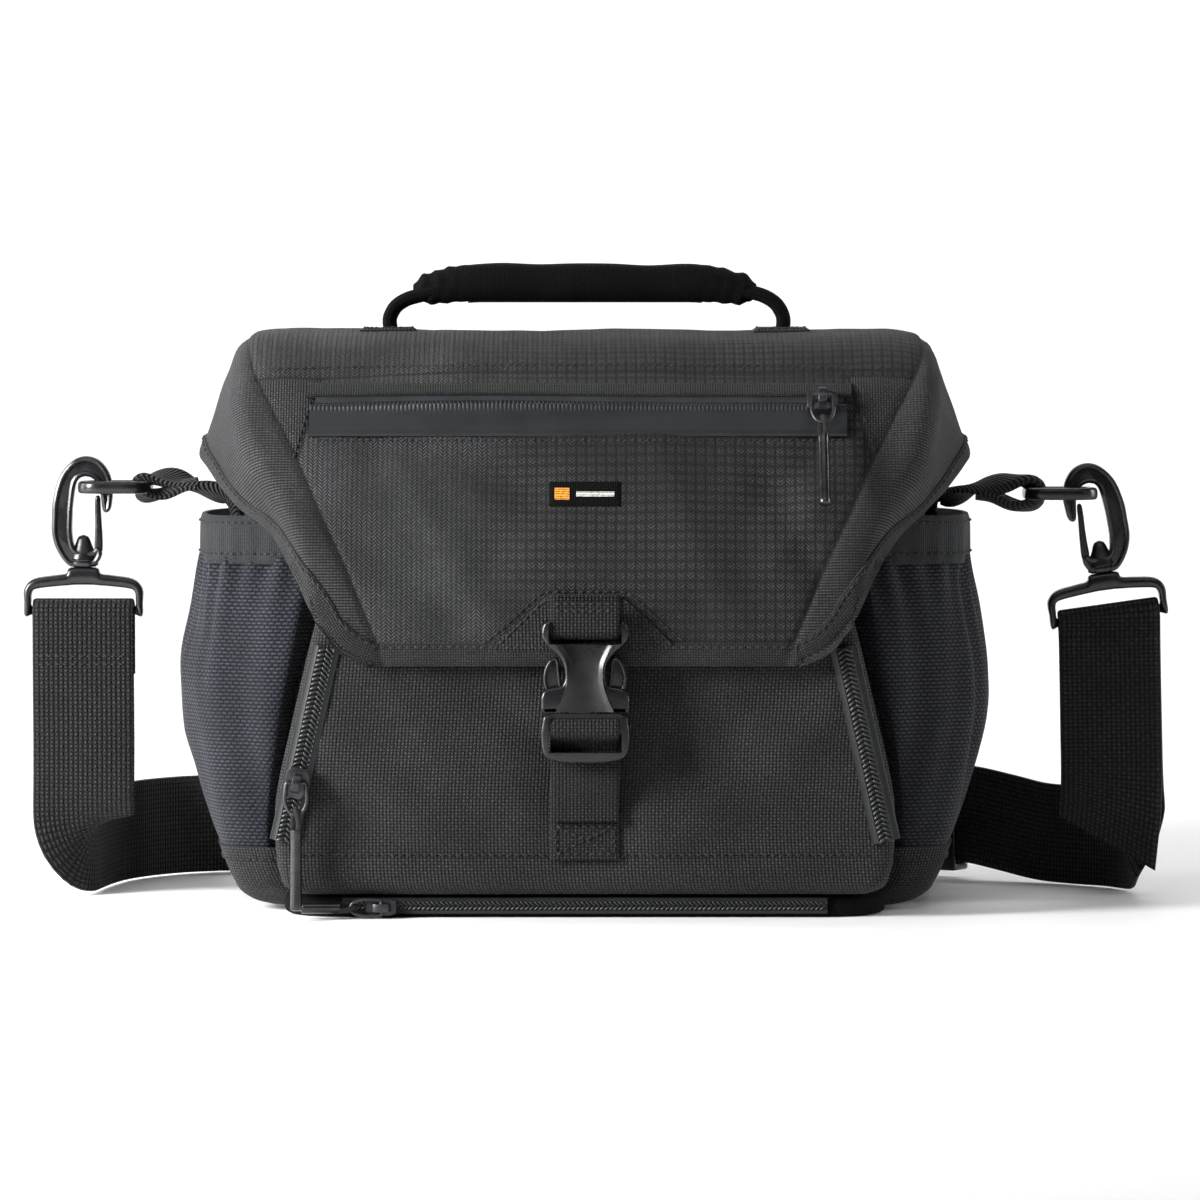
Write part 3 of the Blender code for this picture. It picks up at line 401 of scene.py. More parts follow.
def make_paints():
    PAINTS.update({
        "flap": flap_cloth(),
        "ballistic": woven("ballistic_cloth", (0.022, 0.0225, 0.024), plain(1.3, 1.15), 0.5),
        "small_weave": woven("small_weave", (0.020, 0.0205, 0.0215), plain(0.9), 0.28),
        "ribbed": woven("ribbed_cloth", (0.0215, 0.022, 0.0225), ribs(1.05), 0.3),
        "binding": woven("binding_tape", (0.021, 0.0215, 0.022), plain(0.95), 0.25),
        "webbing": woven("webbing", (0.011, 0.011, 0.0115), plain(1.8, 1.5), 0.8, 0.7, 0.15),
        "fine_webbing": woven("fine_webbing", (0.013, 0.013, 0.0135), plain(1.3, 1.1), 0.55, 0.7, 0.15),
        "rope": woven("gathered_webbing", (0.012, 0.012, 0.0125), slanted(1.7), 0.8, 0.7, 0.1),
        "knit": woven("pocket_knit", (0.0132, 0.0149, 0.0212), dashes(2.6, 1.4), 0.6, 0.85, 0.2, sheen=0.06),
        "elastic": woven("elastic_band", (0.0165, 0.0182, 0.0203), plain(0.9, 0.5), 0.12, 0.7, 0.5),
        "lining": woven("lining", (0.08, 0.081, 0.083), dashes(1.6, 0.9), 0.15, 0.95, 0.7),
        "black_cloth": woven("black_cloth", (0.0028, 0.0028, 0.0032), plain(0.9), 0.2, 0.8, 0.5,
                             sheen=0.006, specular=0.08),
        "spacer": woven("spacer_mesh", (0.013, 0.013, 0.014), dashes(3.2, 2.6), 0.9, 0.9, 0.2, sheen=0.06),
        "thread": woven("thread", (0.018, 0.018, 0.0185), ribs(0.5), 0.1, 0.6, 0.6),
        "cord": woven("braided_cord", (0.012, 0.012, 0.0125), braided(0.8, 0.7), 0.3, 0.7, 0.3),
        "tape": coated_tape("coated_tape", (0.0072, 0.0083, 0.0098)),
        "lip": coated_tape("coated_lip", (0.0065, 0.008, 0.0095), (1.5, 3.5, 5.5)),
        "upper_lip": coated_tape("upper_lip", (0.020, 0.023, 0.026)),
        "coil": moulded("zip_coil", (0.005, 0.0053, 0.0057), 0.42, 0.3, pale_edge_share=0.35),
        "plastic": moulded("moulded_plastic", (0.0035, 0.0038, 0.0044), 0.27),
        "metal": metal("gunmetal", (0.052, 0.052, 0.056)),
        "sleeve": moulded("shrink_tube", (0.0055, 0.0063, 0.0075), 0.22, 0.8, 0.2, pale_edge_share=0.12),
        "label_cloth": woven("label_cloth", (0.5, 0.48, 0.45), ribs(0.9), 0.1, 0.8, 0.75),
        "label_mark": woven("label_mark", (0.6, 0.24, 0.03), ribs(0.9), 0.1, 0.8, 0.75),
        "board": woven("board_cloth", (0.05, 0.05, 0.052), plain(1.0), 0.15, 0.9, 0.6),
    })


# --- meshes ---------------------------------------------------------------------------------------


def catmull(points, steps, closed=False):
    """A smooth curve or row of curves through points, along the first axis."""
    p = np.asarray(points, float)
    if closed:
        p = np.concatenate([p[-1:], p, p[:2]])
    else:
        p = np.concatenate([2 * p[:1] - p[1:2], p, 2 * p[-1:] - p[-2:-1]])
    out = []
    for i in range(1, len(p) - 2):
        a, b, c, d = p[i - 1:i + 3]
        for step in range(steps):
            t = step / steps
            out.append(0.5 * (2 * b + (c - a) * t + (2 * a - 5 * b + 4 * c - d) * t ** 2
                              + (3 * b - a - 3 * c + d) * t ** 3))
    if not closed:
        out.append(p[-2])
    return np.array(out)


def lengths(path):
    """How far along each point is."""
    return np.concatenate([[0], np.cumsum(np.linalg.norm(np.diff(path, axis=0), axis=1))])


def read_at(at, along, values):
    """Each column of values, known at the lengths along, read at the lengths at."""
    return np.stack([np.interp(at, along, column) for column in values.T], 1)


def spaced(path, spacing, guide=None):
    """The path, or each column of a grid, at even steps along it. guide is the line that sets the steps."""
    path = np.asarray(path, float)
    along = lengths(path if guide is None else guide)
    count = max(int(round(along[-1] / spacing)), 2)
    at = np.linspace(0, along[-1], count + 1)
    return read_at(at, along, path.reshape(len(path), -1)).reshape(-1, *path.shape[1:])


def resampled(path, count):
    """The path as count points at even steps."""
    along = lengths(path[:, :3])
    return read_at(np.linspace(0, along[-1], count), along, path)


def even_grid(rows, spacing):
    """A fine, even grid through coarse rows of points."""
    grid = catmull(rows, 6)
    grid = spaced(grid, spacing, guide=grid[:, grid.shape[1] // 2, :3])
    across = catmull(grid.swapaxes(0, 1), 6)
    rows = [across[:, i] for i in range(across.shape[1])]
    count = int(max(lengths(row[:, :3])[-1] for row in rows) / spacing) + 1
    return np.array([resampled(row, count) for row in rows])


def unit(vectors):
    return vectors / np.maximum(np.linalg.norm(vectors, axis=-1, keepdims=True), 1e-9)


def grid_normals(grid, inside):
    """Each point's normal, on the side that faces away from a point inside the shape."""
    normals = unit(np.cross(np.gradient(grid, axis=1), np.gradient(grid, axis=0)))
    middle = grid.shape[0] // 2, grid.shape[1] // 2
    return normals if normals[middle] @ (grid[middle] - np.asarray(inside, float)) > 0 else -normals


def bell(off, width):
    """1 where off is 0, and next to nothing two widths away."""
    return np.exp(-(off / width) ** 2)


def blurred(grid, width):
    """The grid averaged over width points along rows and columns."""
    for axis in (0, 1):
        grid = np.moveaxis(grid, axis, 0)
        ends = [np.repeat(grid[:1], width // 2, 0), grid, np.repeat(grid[-1:], width // 2, 0)]
        sums = np.cumsum(np.concatenate([np.zeros_like(grid[:1]), *ends]), axis=0)
        grid = np.moveaxis((sums[width:] - sums[:-width]) / width, 0, axis)
    return grid


def weave_of(grid):
    """u and v in millimetres: across each row from its middle, and down the middle column."""
    middle = grid.shape[1] // 2
    steps = np.linalg.norm(np.diff(grid, axis=1), axis=2)
    u = np.concatenate([np.zeros((len(grid), 1)), np.cumsum(steps, axis=1)], axis=1)
    u -= u[:, middle:middle + 1]
    v = np.repeat(lengths(grid[:, middle])[:, None], grid.shape[1], axis=1)
    return np.stack([u, v, np.zeros_like(u)], -1)


def raw_piece(name, points, faces):
    """A bare piece from points in millimetres."""
    mesh = bpy.data.meshes.new(name)
    mesh.from_pydata((np.asarray(points, float) * MM).tolist(), [], [tuple(map(int, f)) for f in faces])
    return linked(name, mesh)


def mesh_piece(name, points, faces, paints, body, fields, face_paint=None, smooth=40):
    """A finished piece. paints is one name or several, picked by face_paint, and smooth is in degrees."""
    piece = raw_piece(name, points, faces)
    mesh = piece.data
    for key in ([paints] if isinstance(paints, str) else paints):
        mesh.materials.append(PAINTS[key])
    for key, values in fields.items():
        layer = mesh.attributes.new(key, "FLOAT_VECTOR", "POINT")
        layer.data.foreach_set("vector", np.asarray(values, np.float32).reshape(-1))
    if face_paint is not None:
        mesh.polygons.foreach_set("material_index", np.asarray(face_paint, np.int32))
    mesh.shade_smooth()
    if smooth < 180:
        mesh.set_sharp_from_angle(angle=math.radians(smooth))
    mesh.update()
    if body:
        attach(piece, body)
    return piece


def quads(rows, columns, start=0, closed=False, flip=False):
    faces = []
    for r in range(rows - 1):
        for c in range(columns if closed else columns - 1):
            d = (c + 1) % columns
            face = (start + r * columns + c, start + r * columns + d,
                    start + (r + 1) * columns + d, start + (r + 1) * columns + c)
            faces.append(face[::-1] if flip else face)
    return faces


def capped(rows, columns, start=0):
    """The faces of a skin over closed rings, with both ends filled."""
    last = start + (rows - 1) * columns
    return quads(rows, columns, start, True) + [tuple(start + c for c in range(columns))[::-1],
                                                tuple(last + c for c in range(columns))]


def sheet_piece(name, outer, inner, paints, body, slot, **fields):
    """Two grids, outside and inside, joined round their edges. A field has a value for each outer point."""
    rows, columns = outer.shape[:2]
    count = rows * columns
    middle = rows // 2, columns // 2
    across, down = np.gradient(outer, axis=1)[middle], np.gradient(outer, axis=0)[middle]
    flip = np.cross(across, down) @ (outer[middle] - inner[middle]) < 0
    faces = quads(rows, columns, 0, False, flip) + quads(rows, columns, count, False, not flip)
    sides = [[r * columns for r in range(rows)], [r * columns + columns - 1 for r in range(rows)][::-1]]
    ends = [list(range(columns))[::-1], [(rows - 1) * columns + c for c in range(columns)]]
    for line in ends + sides:
        for a, b in zip(line, line[1:]):
            face = (a, b, b + count, a + count)
            faces.append(face if flip else face[::-1])
    points = np.concatenate([outer.reshape(-1, 3), inner.reshape(-1, 3)])
    doubled = {key: np.concatenate([value.reshape(-1, 3)] * 2) for key, value in fields.items()}
    face_paint = None if isinstance(paints, str) else [int(min(f) >= count) for f in faces]
    return fix_normals(mesh_piece(name, points, faces, paints, body, doubled, face_paint))


def fix_normals(piece):
    shape = bmesh.new()
    shape.from_mesh(piece.data)
    bmesh.ops.recalc_face_normals(shape, faces=shape.faces)
    shape.to_mesh(piece.data)
    shape.free()
    return piece


def loft_piece(name, rings, paints, body, closed=False, weave=None, row_paint=None, smooth=40):
    """Rings of equal count joined into a skin. closed joins the last ring to the first."""
    rings = np.asarray(rings, float)
    rows, columns = rings.shape[:2]
    if closed:
        last = (rows - 1) * columns
        faces = quads(rows, columns, 0, True)
        faces += [(last + c, last + (c + 1) % columns, (c + 1) % columns, c) for c in range(columns)]
    else:
        faces = capped(rows, columns)
    if weave is None:
        weave = weave_of(rings)
    face_paint = row_paint and [row_paint[f[0] // columns] for f in faces]
    points = rings.reshape(-1, 3)
    piece = mesh_piece(name, points, faces, paints, body, {"weave": weave}, face_paint, smooth)
    return fix_normals(piece)


def path_frames(path, up, closed):
    """The directions to the side and up at each point of a path."""
    if closed:
        along = unit(np.roll(path, -1, axis=0) - np.roll(path, 1, axis=0))
    else:
        along = unit(np.gradient(path, axis=0))
    up = np.broadcast_to(np.asarray(up, float), path.shape)
    side = unit(np.cross(along, up))
    return side, np.cross(side, along)


def joined_piece(name, all_rings, paint, body, smooth=40):
    """Many small capped skins, of equal counts, in one mesh."""
    rows, columns = all_rings[0].shape[:2]
    faces = []
    for i in range(len(all_rings)):
        faces += capped(rows, columns, i * rows * columns)
    points = np.concatenate([rings.reshape(-1, 3) for rings in all_rings])
    weave = np.concatenate([weave_of(rings).reshape(-1, 3) for rings in all_rings])
    return fix_normals(mesh_piece(name, points, faces, paint, body, {"weave": weave}, smooth=smooth))


def tube_rings(path, radius, sides=10, up=(0, 0, 1), closed=False):
    path = np.asarray(path, float)
    side, high = path_frames(path, up, closed)
    radius = np.broadcast_to(np.asarray(radius, float), (len(path),))[:, None]
    turns = [TAU * i / sides for i in range(sides)]
    return np.stack([path + side * radius * math.cos(a) + high * radius * math.sin(a) for a in turns], 1)


def tube_piece(name, path, radius, paint, body, sides=10, up=(0, 0, 1), closed=False):
    return loft_piece(name, tube_rings(path, radius, sides, up, closed), paint, body, closed)


CAST_BACK = 300


class Surface:
    """A grid that paths are laid on. A cast starts CAST_BACK behind its point."""

    def __init__(self, grid):
        self.tree = BVHTree.FromPolygons([Vector(p) for p in grid.reshape(-1, 3)], quads(*grid.shape[:2]))

    def cast(self, points, way):
        """Points dropped on the surface along way, with the normals that face against it."""
        way = Vector(way).normalized()
        found = []
        for p in points:
            place, normal, _, _ = self.tree.ray_cast(Vector(p) - way * CAST_BACK, way)
            if place is not None:
                normal = normal if normal.dot(way) < 0 else -normal
                found.append((np.array(place), np.array(normal)))
        return np.array([f[0] for f in found]), np.array([f[1] for f in found])

    def nearest(self, points, ways):
        """The surface's nearest places, with the normals that lean along ways."""
        found = []
        for p, n in zip(points, ways):
            place, normal, _, _ = self.tree.find_nearest(Vector(p))
            normal = normal if normal.dot(Vector(n)) > 0 else -normal
            found.append((np.array(place), np.array(normal)))
        return np.array([f[0] for f in found]), np.array([f[1] for f in found])


SEWING = {}
STITCH_RADIUS = 0.32
# Along one stitch: how high it stands and how thick it is, as shares of its radius
STITCH_ARCH = np.array([-0.9, 0.6, 1.0, 0.6, -0.9])
STITCH_TAPER = np.array([0.7, 1, 1, 1, 0.7])


def sew(body, path, normals, pitch=3.0, length=2.1, lift=0.15):
    """A row of stitches along a path: each a short bar whose ends dip into the cloth."""
    along = lengths(path)
    for i in range(int(along[-1] / pitch)):
        start = (i + 0.5) * pitch - length / 2
        at = np.linspace(start, start + length, 5)
        normal = unit(read_at(at, along, normals))
        bar = read_at(at, along, path) + normal * (STITCH_ARCH[:, None] * STITCH_RADIUS + lift)
        SEWING.setdefault(body, []).append(tube_rings(bar, STITCH_TAPER * STITCH_RADIUS, 6, normal))


def sew_front(body, path, **stitch):
    """Stitches whose upper side faces the front."""
    sew(body, path, np.repeat([[0, -1.0, 0]], len(path), 0), **stitch)


def finish_sewing():
    for body, all_rings in SEWING.items():
        joined_piece(f"stitches_{body}", all_rings, "thread", body)


# --- flap -----------------------------------------------------------------------------------------

# y, z, skirt length, corner x, hem x, and where the wedge's seam crosses the row
FLAP_ROWS = ((84, 203.5, 36, 128, 139, 125), (76, 208.5, 41, 129, 140, 125), (62, 212, 44, 130, 141, 125),
             (40, 213, 45, 130, 141, 125), (0, 213, 45, 130, 141, 125), (-22, 212.5, 45, 130, 141, 125),
             (-42, 208, 43, 130, 141, 124), (-58, 198, 42, 130, 141, 121), (-68, 185, 38, 129, 139, 114),
             (-77, 168, 32, 124, 131, 105), (-84, 150, 24, 114, 118, 97), (-88.5, 130, 9, 105, 107, 87.5),
             (-90.5, 112, 0.5, 97, 97.5, 80), (-91.4, 99, 0, 88, 88, 74.5), (-91.6, 93, 0, 76, 76, 72))
FLAP_THICK = 4.6
FLAP_EDGE_RADIUS = 12.0
# The binding's section: on which face, how far in from the edge, and how far off the face
BINDING = (("front", 7.5, 0.05), ("front", 7.2, 0.7), ("front", 6, 0.9), ("front", 4.2, 0.9),
           ("front", 2, 0.9), ("front", 0.3, 0.6), ("front", -1.1, -0.6), ("back", -1.1, -0.6),
           ("back", 0.3, 0.5), ("back", 2, 0.8), ("back", 5, 0.8), ("back", 8.4, 0.7), ("back", 8.8, 0.1))
# Soft folds of the flap's front: from x, z to x, z, how high and how wide
FLAP_FOLDS = ((-72, 168, -30, 160, -1.0, 7), (-30, 160, 10, 146, -0.9, 9), (-84, 150, -45, 139, 0.9, 8),
              (-60, 128, -28, 118, -0.7, 7), (62, 150, 88, 172, -0.8, 7), (70, 132, 84, 150, 0.7, 6),
              (20, 172, 60, 168, 0.5, 8), (-20, 132, 24, 128, 0.6, 10), (44, 116, 66, 122, -0.5, 6),
              (-64, 158, -40, 118, 1.1, 8), (-84, 138, -52, 112, -1.0, 8), (-20, 150, -44, 112, -0.9, 9),
              (30, 160, 52, 112, 0.9, 9), (66, 160, 84, 124, -0.9, 7), (-50, 160, -20, 140, 1.0, 9),
              (-98, 196, -60, 203, -0.7, 6), (40, 203, 96, 199, -0.6, 6), (-130, 190, -122, 150, 0.9, 7),
              (127, 192, 118, 150, 0.9, 7), (-112, 140, -96, 116, -0.9, 6), (112, 140, 97, 118, -0.9, 6))


def flap_rows():
    spine = np.array([row[:2] for row in FLAP_ROWS], float)
    along = unit(np.gradient(spine, axis=0))
    ways = np.stack([-along[:, 1], along[:, 0]], 1)
    ways[0], ways[-1] = (0, -1), (1, 0)
    rows = []
    for (y, z, skirt, corner, hem, seam), way in zip(FLAP_ROWS, ways):
        edge = min(FLAP_EDGE_RADIUS, skirt)
        half = [(hem, skirt), (hem - 0.45 * (hem - corner), edge + 0.55 * (skirt - edge)), (corner, edge),
                (corner - 0.29 * edge, 0.29 * edge), (corner - edge, 0)]
        half += [(share * (corner - edge), 0) for share in (0.7, 0.35, 0)]
        across = [(-x, d) for x, d in half] + half[-2::-1]
        rows.append([(x, y + way[0] * d, z + way[1] * d, seam) for x, d in across])
    return np.array(rows)


def fold_height(x, z, folds):
    """Ridges and valleys along straight lines, faded at both ends."""
    height = np.zeros_like(x)
    for x0, z0, x1, z1, size, width in folds:
        long = math.hypot(x1 - x0, z1 - z0)
        along = ((x - x0) * (x1 - x0) + (z - z0) * (z1 - z0)) / long ** 2
        off = np.abs((x - x0) * (z1 - z0) - (z - z0) * (x1 - x0)) / long
        past = np.clip(np.maximum(-along, along - 1), 0, None) * long
        bend = off + 0.8 * np.sin(along * 3 + size)
        height += size * np.exp(-(bend / width) ** 2 - (past / (1.6 * width)) ** 2)
    return height


def ripple(points, size, seed):
    """Smooth, repeatable unevenness from a few waves in mixed directions."""
    chance = np.random.default_rng(seed)
    total = np.zeros(points.shape[:-1])
    for _ in range(9):
        way = unit(chance.normal(size=3))
        wave = size * chance.uniform(0.6, 1.8)
        total += np.sin(points @ way * TAU / wave + chance.uniform(0, TAU))
    return total / 4.0


YOKE_Z = 196
CORNER_SEAM = 96


def yoke_rise(x):
    """How far the yoke's seam stands above its ends."""
    return 1.5 * (1 - (x / 110) ** 2)


def flap_marks(grid):
    """How far each point is past the wedge's, the corner's and the yoke's seam."""
    x, z, seam = np.abs(grid[..., 0]), grid[..., 2], grid[..., 3]
    wedge = (x - seam) * 0.93
    corner = x - (CORNER_SEAM + (YOKE_Z - z) * 0.27)
    yoke = z - YOKE_Z - yoke_rise(grid[..., 0])
    return np.stack([wedge, corner, yoke], -1)


def flap_relief(base, marks):
    """How far the cloth stands off the folded shell: sunk seams, folds, unevenness and a sagging top."""
    x, y, z = (base[..., i] for i in range(3))
    wedge, corner, yoke = (np.abs(marks[..., i]) for i in range(3))
    inside = marks[..., 0] < 0
    height = -0.9 * bell(wedge, 1.3) + 0.7 * (1 - bell(wedge, 7))
    height -= 0.6 * bell(yoke, 1.2) * inside
    height -= 0.6 * bell(corner, 1.2) * inside * (marks[..., 2] < 0) * (z > 160)
    front = np.clip((-30 - y) / 20, 0, 1)
    height += 1.7 * fold_height(x, z, FLAP_FOLDS) * front
    height += 0.7 * ripple(base, 60, 3) + 0.16 * ripple(base, 18, 5)
    top = np.clip((z - 205) / 6, 0, 1) * bell(np.abs(x) - 20, 80)
    return height - 0.9 * top


def build_flap():
    grid = even_grid(flap_rows(), 1.5)
    base = grid[..., :3]
    normals = grid_normals(base, (0, 0, 100))
    marks = flap_marks(grid)
    outer = base + normals * flap_relief(base, marks)[..., None]
    inner = base - blurred(normals, 15) * (FLAP_THICK - 0.2 * ripple(base, 40, 9)[..., None])
    weave = weave_of(base)
    weave[..., 2] = base[..., 0]
    flap = sheet_piece("flap_padded_shell", outer, inner, ("flap", "lining"), "flap", "flap_fabric",
                       weave=weave, marks=marks)
    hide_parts("flap_shell")
    bind_flap(outer, inner, normals)
    return Surface(outer)


def edge_ring(grid, depth):
    """The line depth cells inside the free edge: down the left side, along the hem and up the right side."""
    rows, columns = grid.shape[:2]
    left = grid[:rows - depth, depth]
    hem = grid[rows - 1 - depth, depth:columns - depth]
    right = grid[:rows - depth, columns - 1 - depth][::-1]
    ring = np.concatenate([resampled(left, rows), resampled(hem, columns)[1:-1], resampled(right, rows)])
    padded = np.concatenate([np.repeat(ring[:1], 3, 0), ring, np.repeat(ring[-1:], 3, 0)])
    return np.stack([np.convolve(column, np.ones(7) / 7, "valid") for column in padded.T], 1)


def bind_flap(outer, inner, normals):
    """Tape folded over the flap's free edge and sewn through."""
    edge, far = edge_ring(outer, 0), edge_ring(outer, 8)
    along = unit(np.gradient(edge, axis=0))
    inward = far - edge
    inward = unit(inward - along * np.sum(inward * along, axis=1, keepdims=True))
    out = unit(edge_ring(normals, 4))
    faces = {"front": (Surface(outer), out), "back": (Surface(inner), -out)}
    rings = []
    for side, inset, lift in BINDING:
        surface, way = faces[side]
        start = edge if side == "front" else edge_ring(inner, 0)
        at, normal = surface.nearest(start + inward * max(inset, 0.2), way)
        rings.append(at + unit(normal + way) * lift + inward * min(inset, 0))
    loft_piece("flap_binding", np.stack(rings, 1), "binding", "flap")
    at, normal = faces["front"][0].nearest(edge + inward * 6.1, out)
    sew("flap", at, normal, lift=0.9)


def densify(points):
    return spaced(np.asarray(points, float), 1.5)


def on_front(surface, points):
    """A line of (x, z) laid on the surface from the front."""
    return surface.cast(densify([(x, -100, z) for x, z in points]), (0, 1, 0))


def build_flap_seams(surface):
    for sign in (-1, 1):
        path, normals = on_front(surface, [(sign * CORNER_SEAM, 192), (sign * 103.5, 166.5)])
        sew("flap", path + [sign * 2.2, 0, 0], normals)
    sew("flap", *on_front(surface, [(x, YOKE_Z + 2.9 + yoke_rise(x)) for x in np.linspace(-116, 116, 40)]))
    sew("flap", *on_front(surface, [(-98, 173.2), (96, 173.2)]), pitch=2.6, length=1.9)


ZIP_AT = np.array([0, -68, 185.0])
ZIP_DOWN = unit(np.array([0, -19, -30.0]))
ZIP_OUT = unit(np.array([0, -30, 19.0]))


def zip_strip(name, profile, x_range, shift, paint, node=None):
    """A strip along the flap's zip. profile is (down, out) and shift gives how far both move at each x."""
    xs = np.arange(x_range[0], x_range[1] + 0.1, 1.5)
    rings = []
    for down, out in profile:
        row = []
        for x in xs:
            more_down, more_out = shift(x, down)
            place = ZIP_AT + ZIP_DOWN * (down + more_down) + ZIP_OUT * (out + more_out)
            row.append(place + np.array([x, 0, 0]))
        rings.append(row)
    grid = np.array(rings)
    piece = sheet_piece(name, grid, grid - ZIP_OUT * 0.9, paint, "flap", "zip_tape", weave=weave_of(grid))
    if node:
        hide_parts(node)


def gape(x):
    """How far the zip's mouth stands open at x."""
    return math.exp(-((x + 35) / 42) ** 2) * (1 - math.exp(-((x + 97) / 14) ** 2))


def build_flap_zip():
    lower = ((-0.4, 0.6), (-0.5, 1.5), (-0.2, 2.3), (0.5, 2.7), (1.4, 2.6), (3, 2.1), (5.5, 1.8), (8, 1.6),
             (10.2, 1.4), (11.6, 1.0), (12.2, 0.2))
    upper = ((-0.9, 0.5), (-1.0, 1.3), (-1.5, 1.7), (-2.4, 1.6), (-3.6, 1.4), (-4.6, 1.2))
    facing = ((-4.0, 0.8), (-3.7, 1.6), (-4.0, 2.3), (-4.8, 2.5), (-6.2, 2.0), (-8.0, 1.4), (-9.6, 0.9),
              (-10.6, 0.1))
    zip_strip("flap_zip_lower_lip", lower, (-100, 96),
              lambda x, d: (0.9 * gape(x) * max(0, 1 - d / 8), 2.4 * gape(x) * max(0, 1 - d / 8)), "lip",
              "flap_zip_lower_tape")
    zip_strip("flap_zip_upper_lip", upper, (-98, 94),
              lambda x, d: (-1.0 * gape(x) * max(0, 1 + d / 8), 0.0), "upper_lip", "flap_zip_upper_tape")
    zip_strip("flap_zip_facing", facing, (-101, 97),
              lambda x, d: (-1.0 * gape(x) * max(0, 1 + d / 11), 0.0), "small_weave")
    mouth = ((-2.2, 0.5), (-1.0, 0.45), (0.6, 0.45), (2.0, 0.5))
    zip_strip("flap_zip_mouth", mouth, (-97, 93), lambda x, d: (0, 0), "black_cloth")
    teeth = []
    for x in np.arange(-94, 78, 1.55):
        edge = ZIP_AT + ZIP_DOWN * (-0.75 - 1.0 * gape(x)) + ZIP_OUT * 1.1 + np.array([x, 0, 0])
        teeth.append([edge - ZIP_DOWN * 0.7, edge + ZIP_DOWN * 0.75])
    teeth_piece("flap_zip_teeth", teeth, 0.5, "flap", ZIP_OUT)


def teeth_piece(name, bars, radius, body, up):
    """A zip's teeth: many short round-ended bars in one mesh."""
    all_rings = []
    for a, b in bars:
        reach = unit(b - a) * radius * 0.7
        path = np.array([a - reach, a, b, b + reach])
        all_rings.append(tube_rings(path, [radius * 0.35, radius, radius, radius * 0.35], 6, up))
    return joined_piece(name, all_rings, "coil", body, smooth=60)


def patch_piece(name, surface, outline, lift, thick, paint, slot, rows=14):
    """A thin patch laid on the flap. outline gives (z, low x, high x), bottom to top."""
    columns = 28
    grid = []
    for z, low, high in spaced(np.array(outline, float), (outline[-1][0] - outline[0][0]) / rows):
        at, _ = surface.cast([(x, -100, z) for x in np.linspace(low, high, columns)], (0, 1, 0))
        grid.append(at)
    grid = np.array(grid)
    normals = grid_normals(grid, grid[len(grid) // 2, columns // 2] + np.array([0, 30, 0]))
    edge = np.ones(grid.shape[:2])
    edge[[0, -1]] = edge[:, [0, -1]] = 0.25
    outer = grid + normals * (lift * edge)[..., None]
    return sheet_piece(name, outer, grid - normals * thick, paint, "flap", slot, weave=weave_of(grid))


def build_buckle_patch(surface):
    half = [(97, 35), (104, 28), (110, 21.5), (115, 16.5), (117, 14)]
    outline = [(z, -x, x) for z, x in half]
    patch = patch_piece("buckle_patch_cloth", surface, outline, 1.3, 0.2, "ballistic", "body_fabric")
    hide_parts("buckle_patch")
    edge = [(33, 98), (27, 104), (20.5, 110), (15.5, 115), (13, 116)]
    outside = [(37.5, 99.5), (29.5, 106), (22.5, 112.5), (17, 117.5), (14, 119)]
    for right, lift in ((edge, 1.25), (outside, 0.1)):
        sew("flap", *on_front(surface, [(-x, z) for x, z in right] + right[::-1]), lift=lift)


def build_label(surface):
    base = patch_piece("label_base", surface, [(149.4, -13, 13), (158.4, -13, 13)], 0.7, 0.2, "black_cloth",
                       "label", 8)
    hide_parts("woven_label")
    square = [(151.2, -11, -5.4), (156.6, -11, -5.4)]
    patch_piece("label_square", surface, square, 1.1, 0.1, "label_mark", "label", 5)
    bar = [(152.6, -3.4, 11), (155.2, -3.4, 11)]
    patch_piece("label_bar", surface, bar, 1.1, 0.1, "label_cloth", "label", 3)


# --- front pocket ---------------------------------------------------------------------------------

POCKET_LEVELS = ((8.6, 103, -77), (10.5, 107.5, -80.5), (14, 110, -83), (24, 112, -84), (44, 112, -84),
                 (70, 106.5, -84), (98, 100, -84), (116, 95.5, -80.5), (138, 92, -75))
POCKET_FOLDS = ((-44, 90, -14, 64, -1.6, 8), (-92, 60, -60, 40, 1.2, 12), (-70, 84, -52, 60, 0.9, 9),
                (-60, 92, -30, 84, 0.8, 6), (96, 84, 74, 60, 0.9, 7), (84, 92, 58, 74, -0.9, 8),
                (60, 60, 30, 30, 0.7, 11), (-30, 40, 20, 30, 0.6, 12), (-86, 34, -60, 25, -0.7, 7),
                (20, 88, 34, 60, -0.6, 8), (80, 44, 50, 28, -0.7, 9))


def pocket_ring(half, front, inset=0.0, corner=5.5):
    """Plan of the front pocket: round the right side, the front from right to left, and the back."""
    x, y, back = half - inset, front + inset, -50.4 - inset
    right = [(x, back + (y + corner - back) * t) for t in np.linspace(0, 1, 11)]
    turn = [(x - corner + corner * math.cos(a), y + corner - corner * math.sin(a))
            for a in np.linspace(0, math.pi / 2, 7)[1:]]
    face = [((x - corner) * t, y) for t in np.linspace(1, 0, 45)[1:]]
    side = right + turn + face
    left = [(-px, py) for px, py in side[-2::-1]]
    behind = [(-x + 2 * x * t, back) for t in np.linspace(0, 1, 30)[1:-1]]
    return side + left + behind


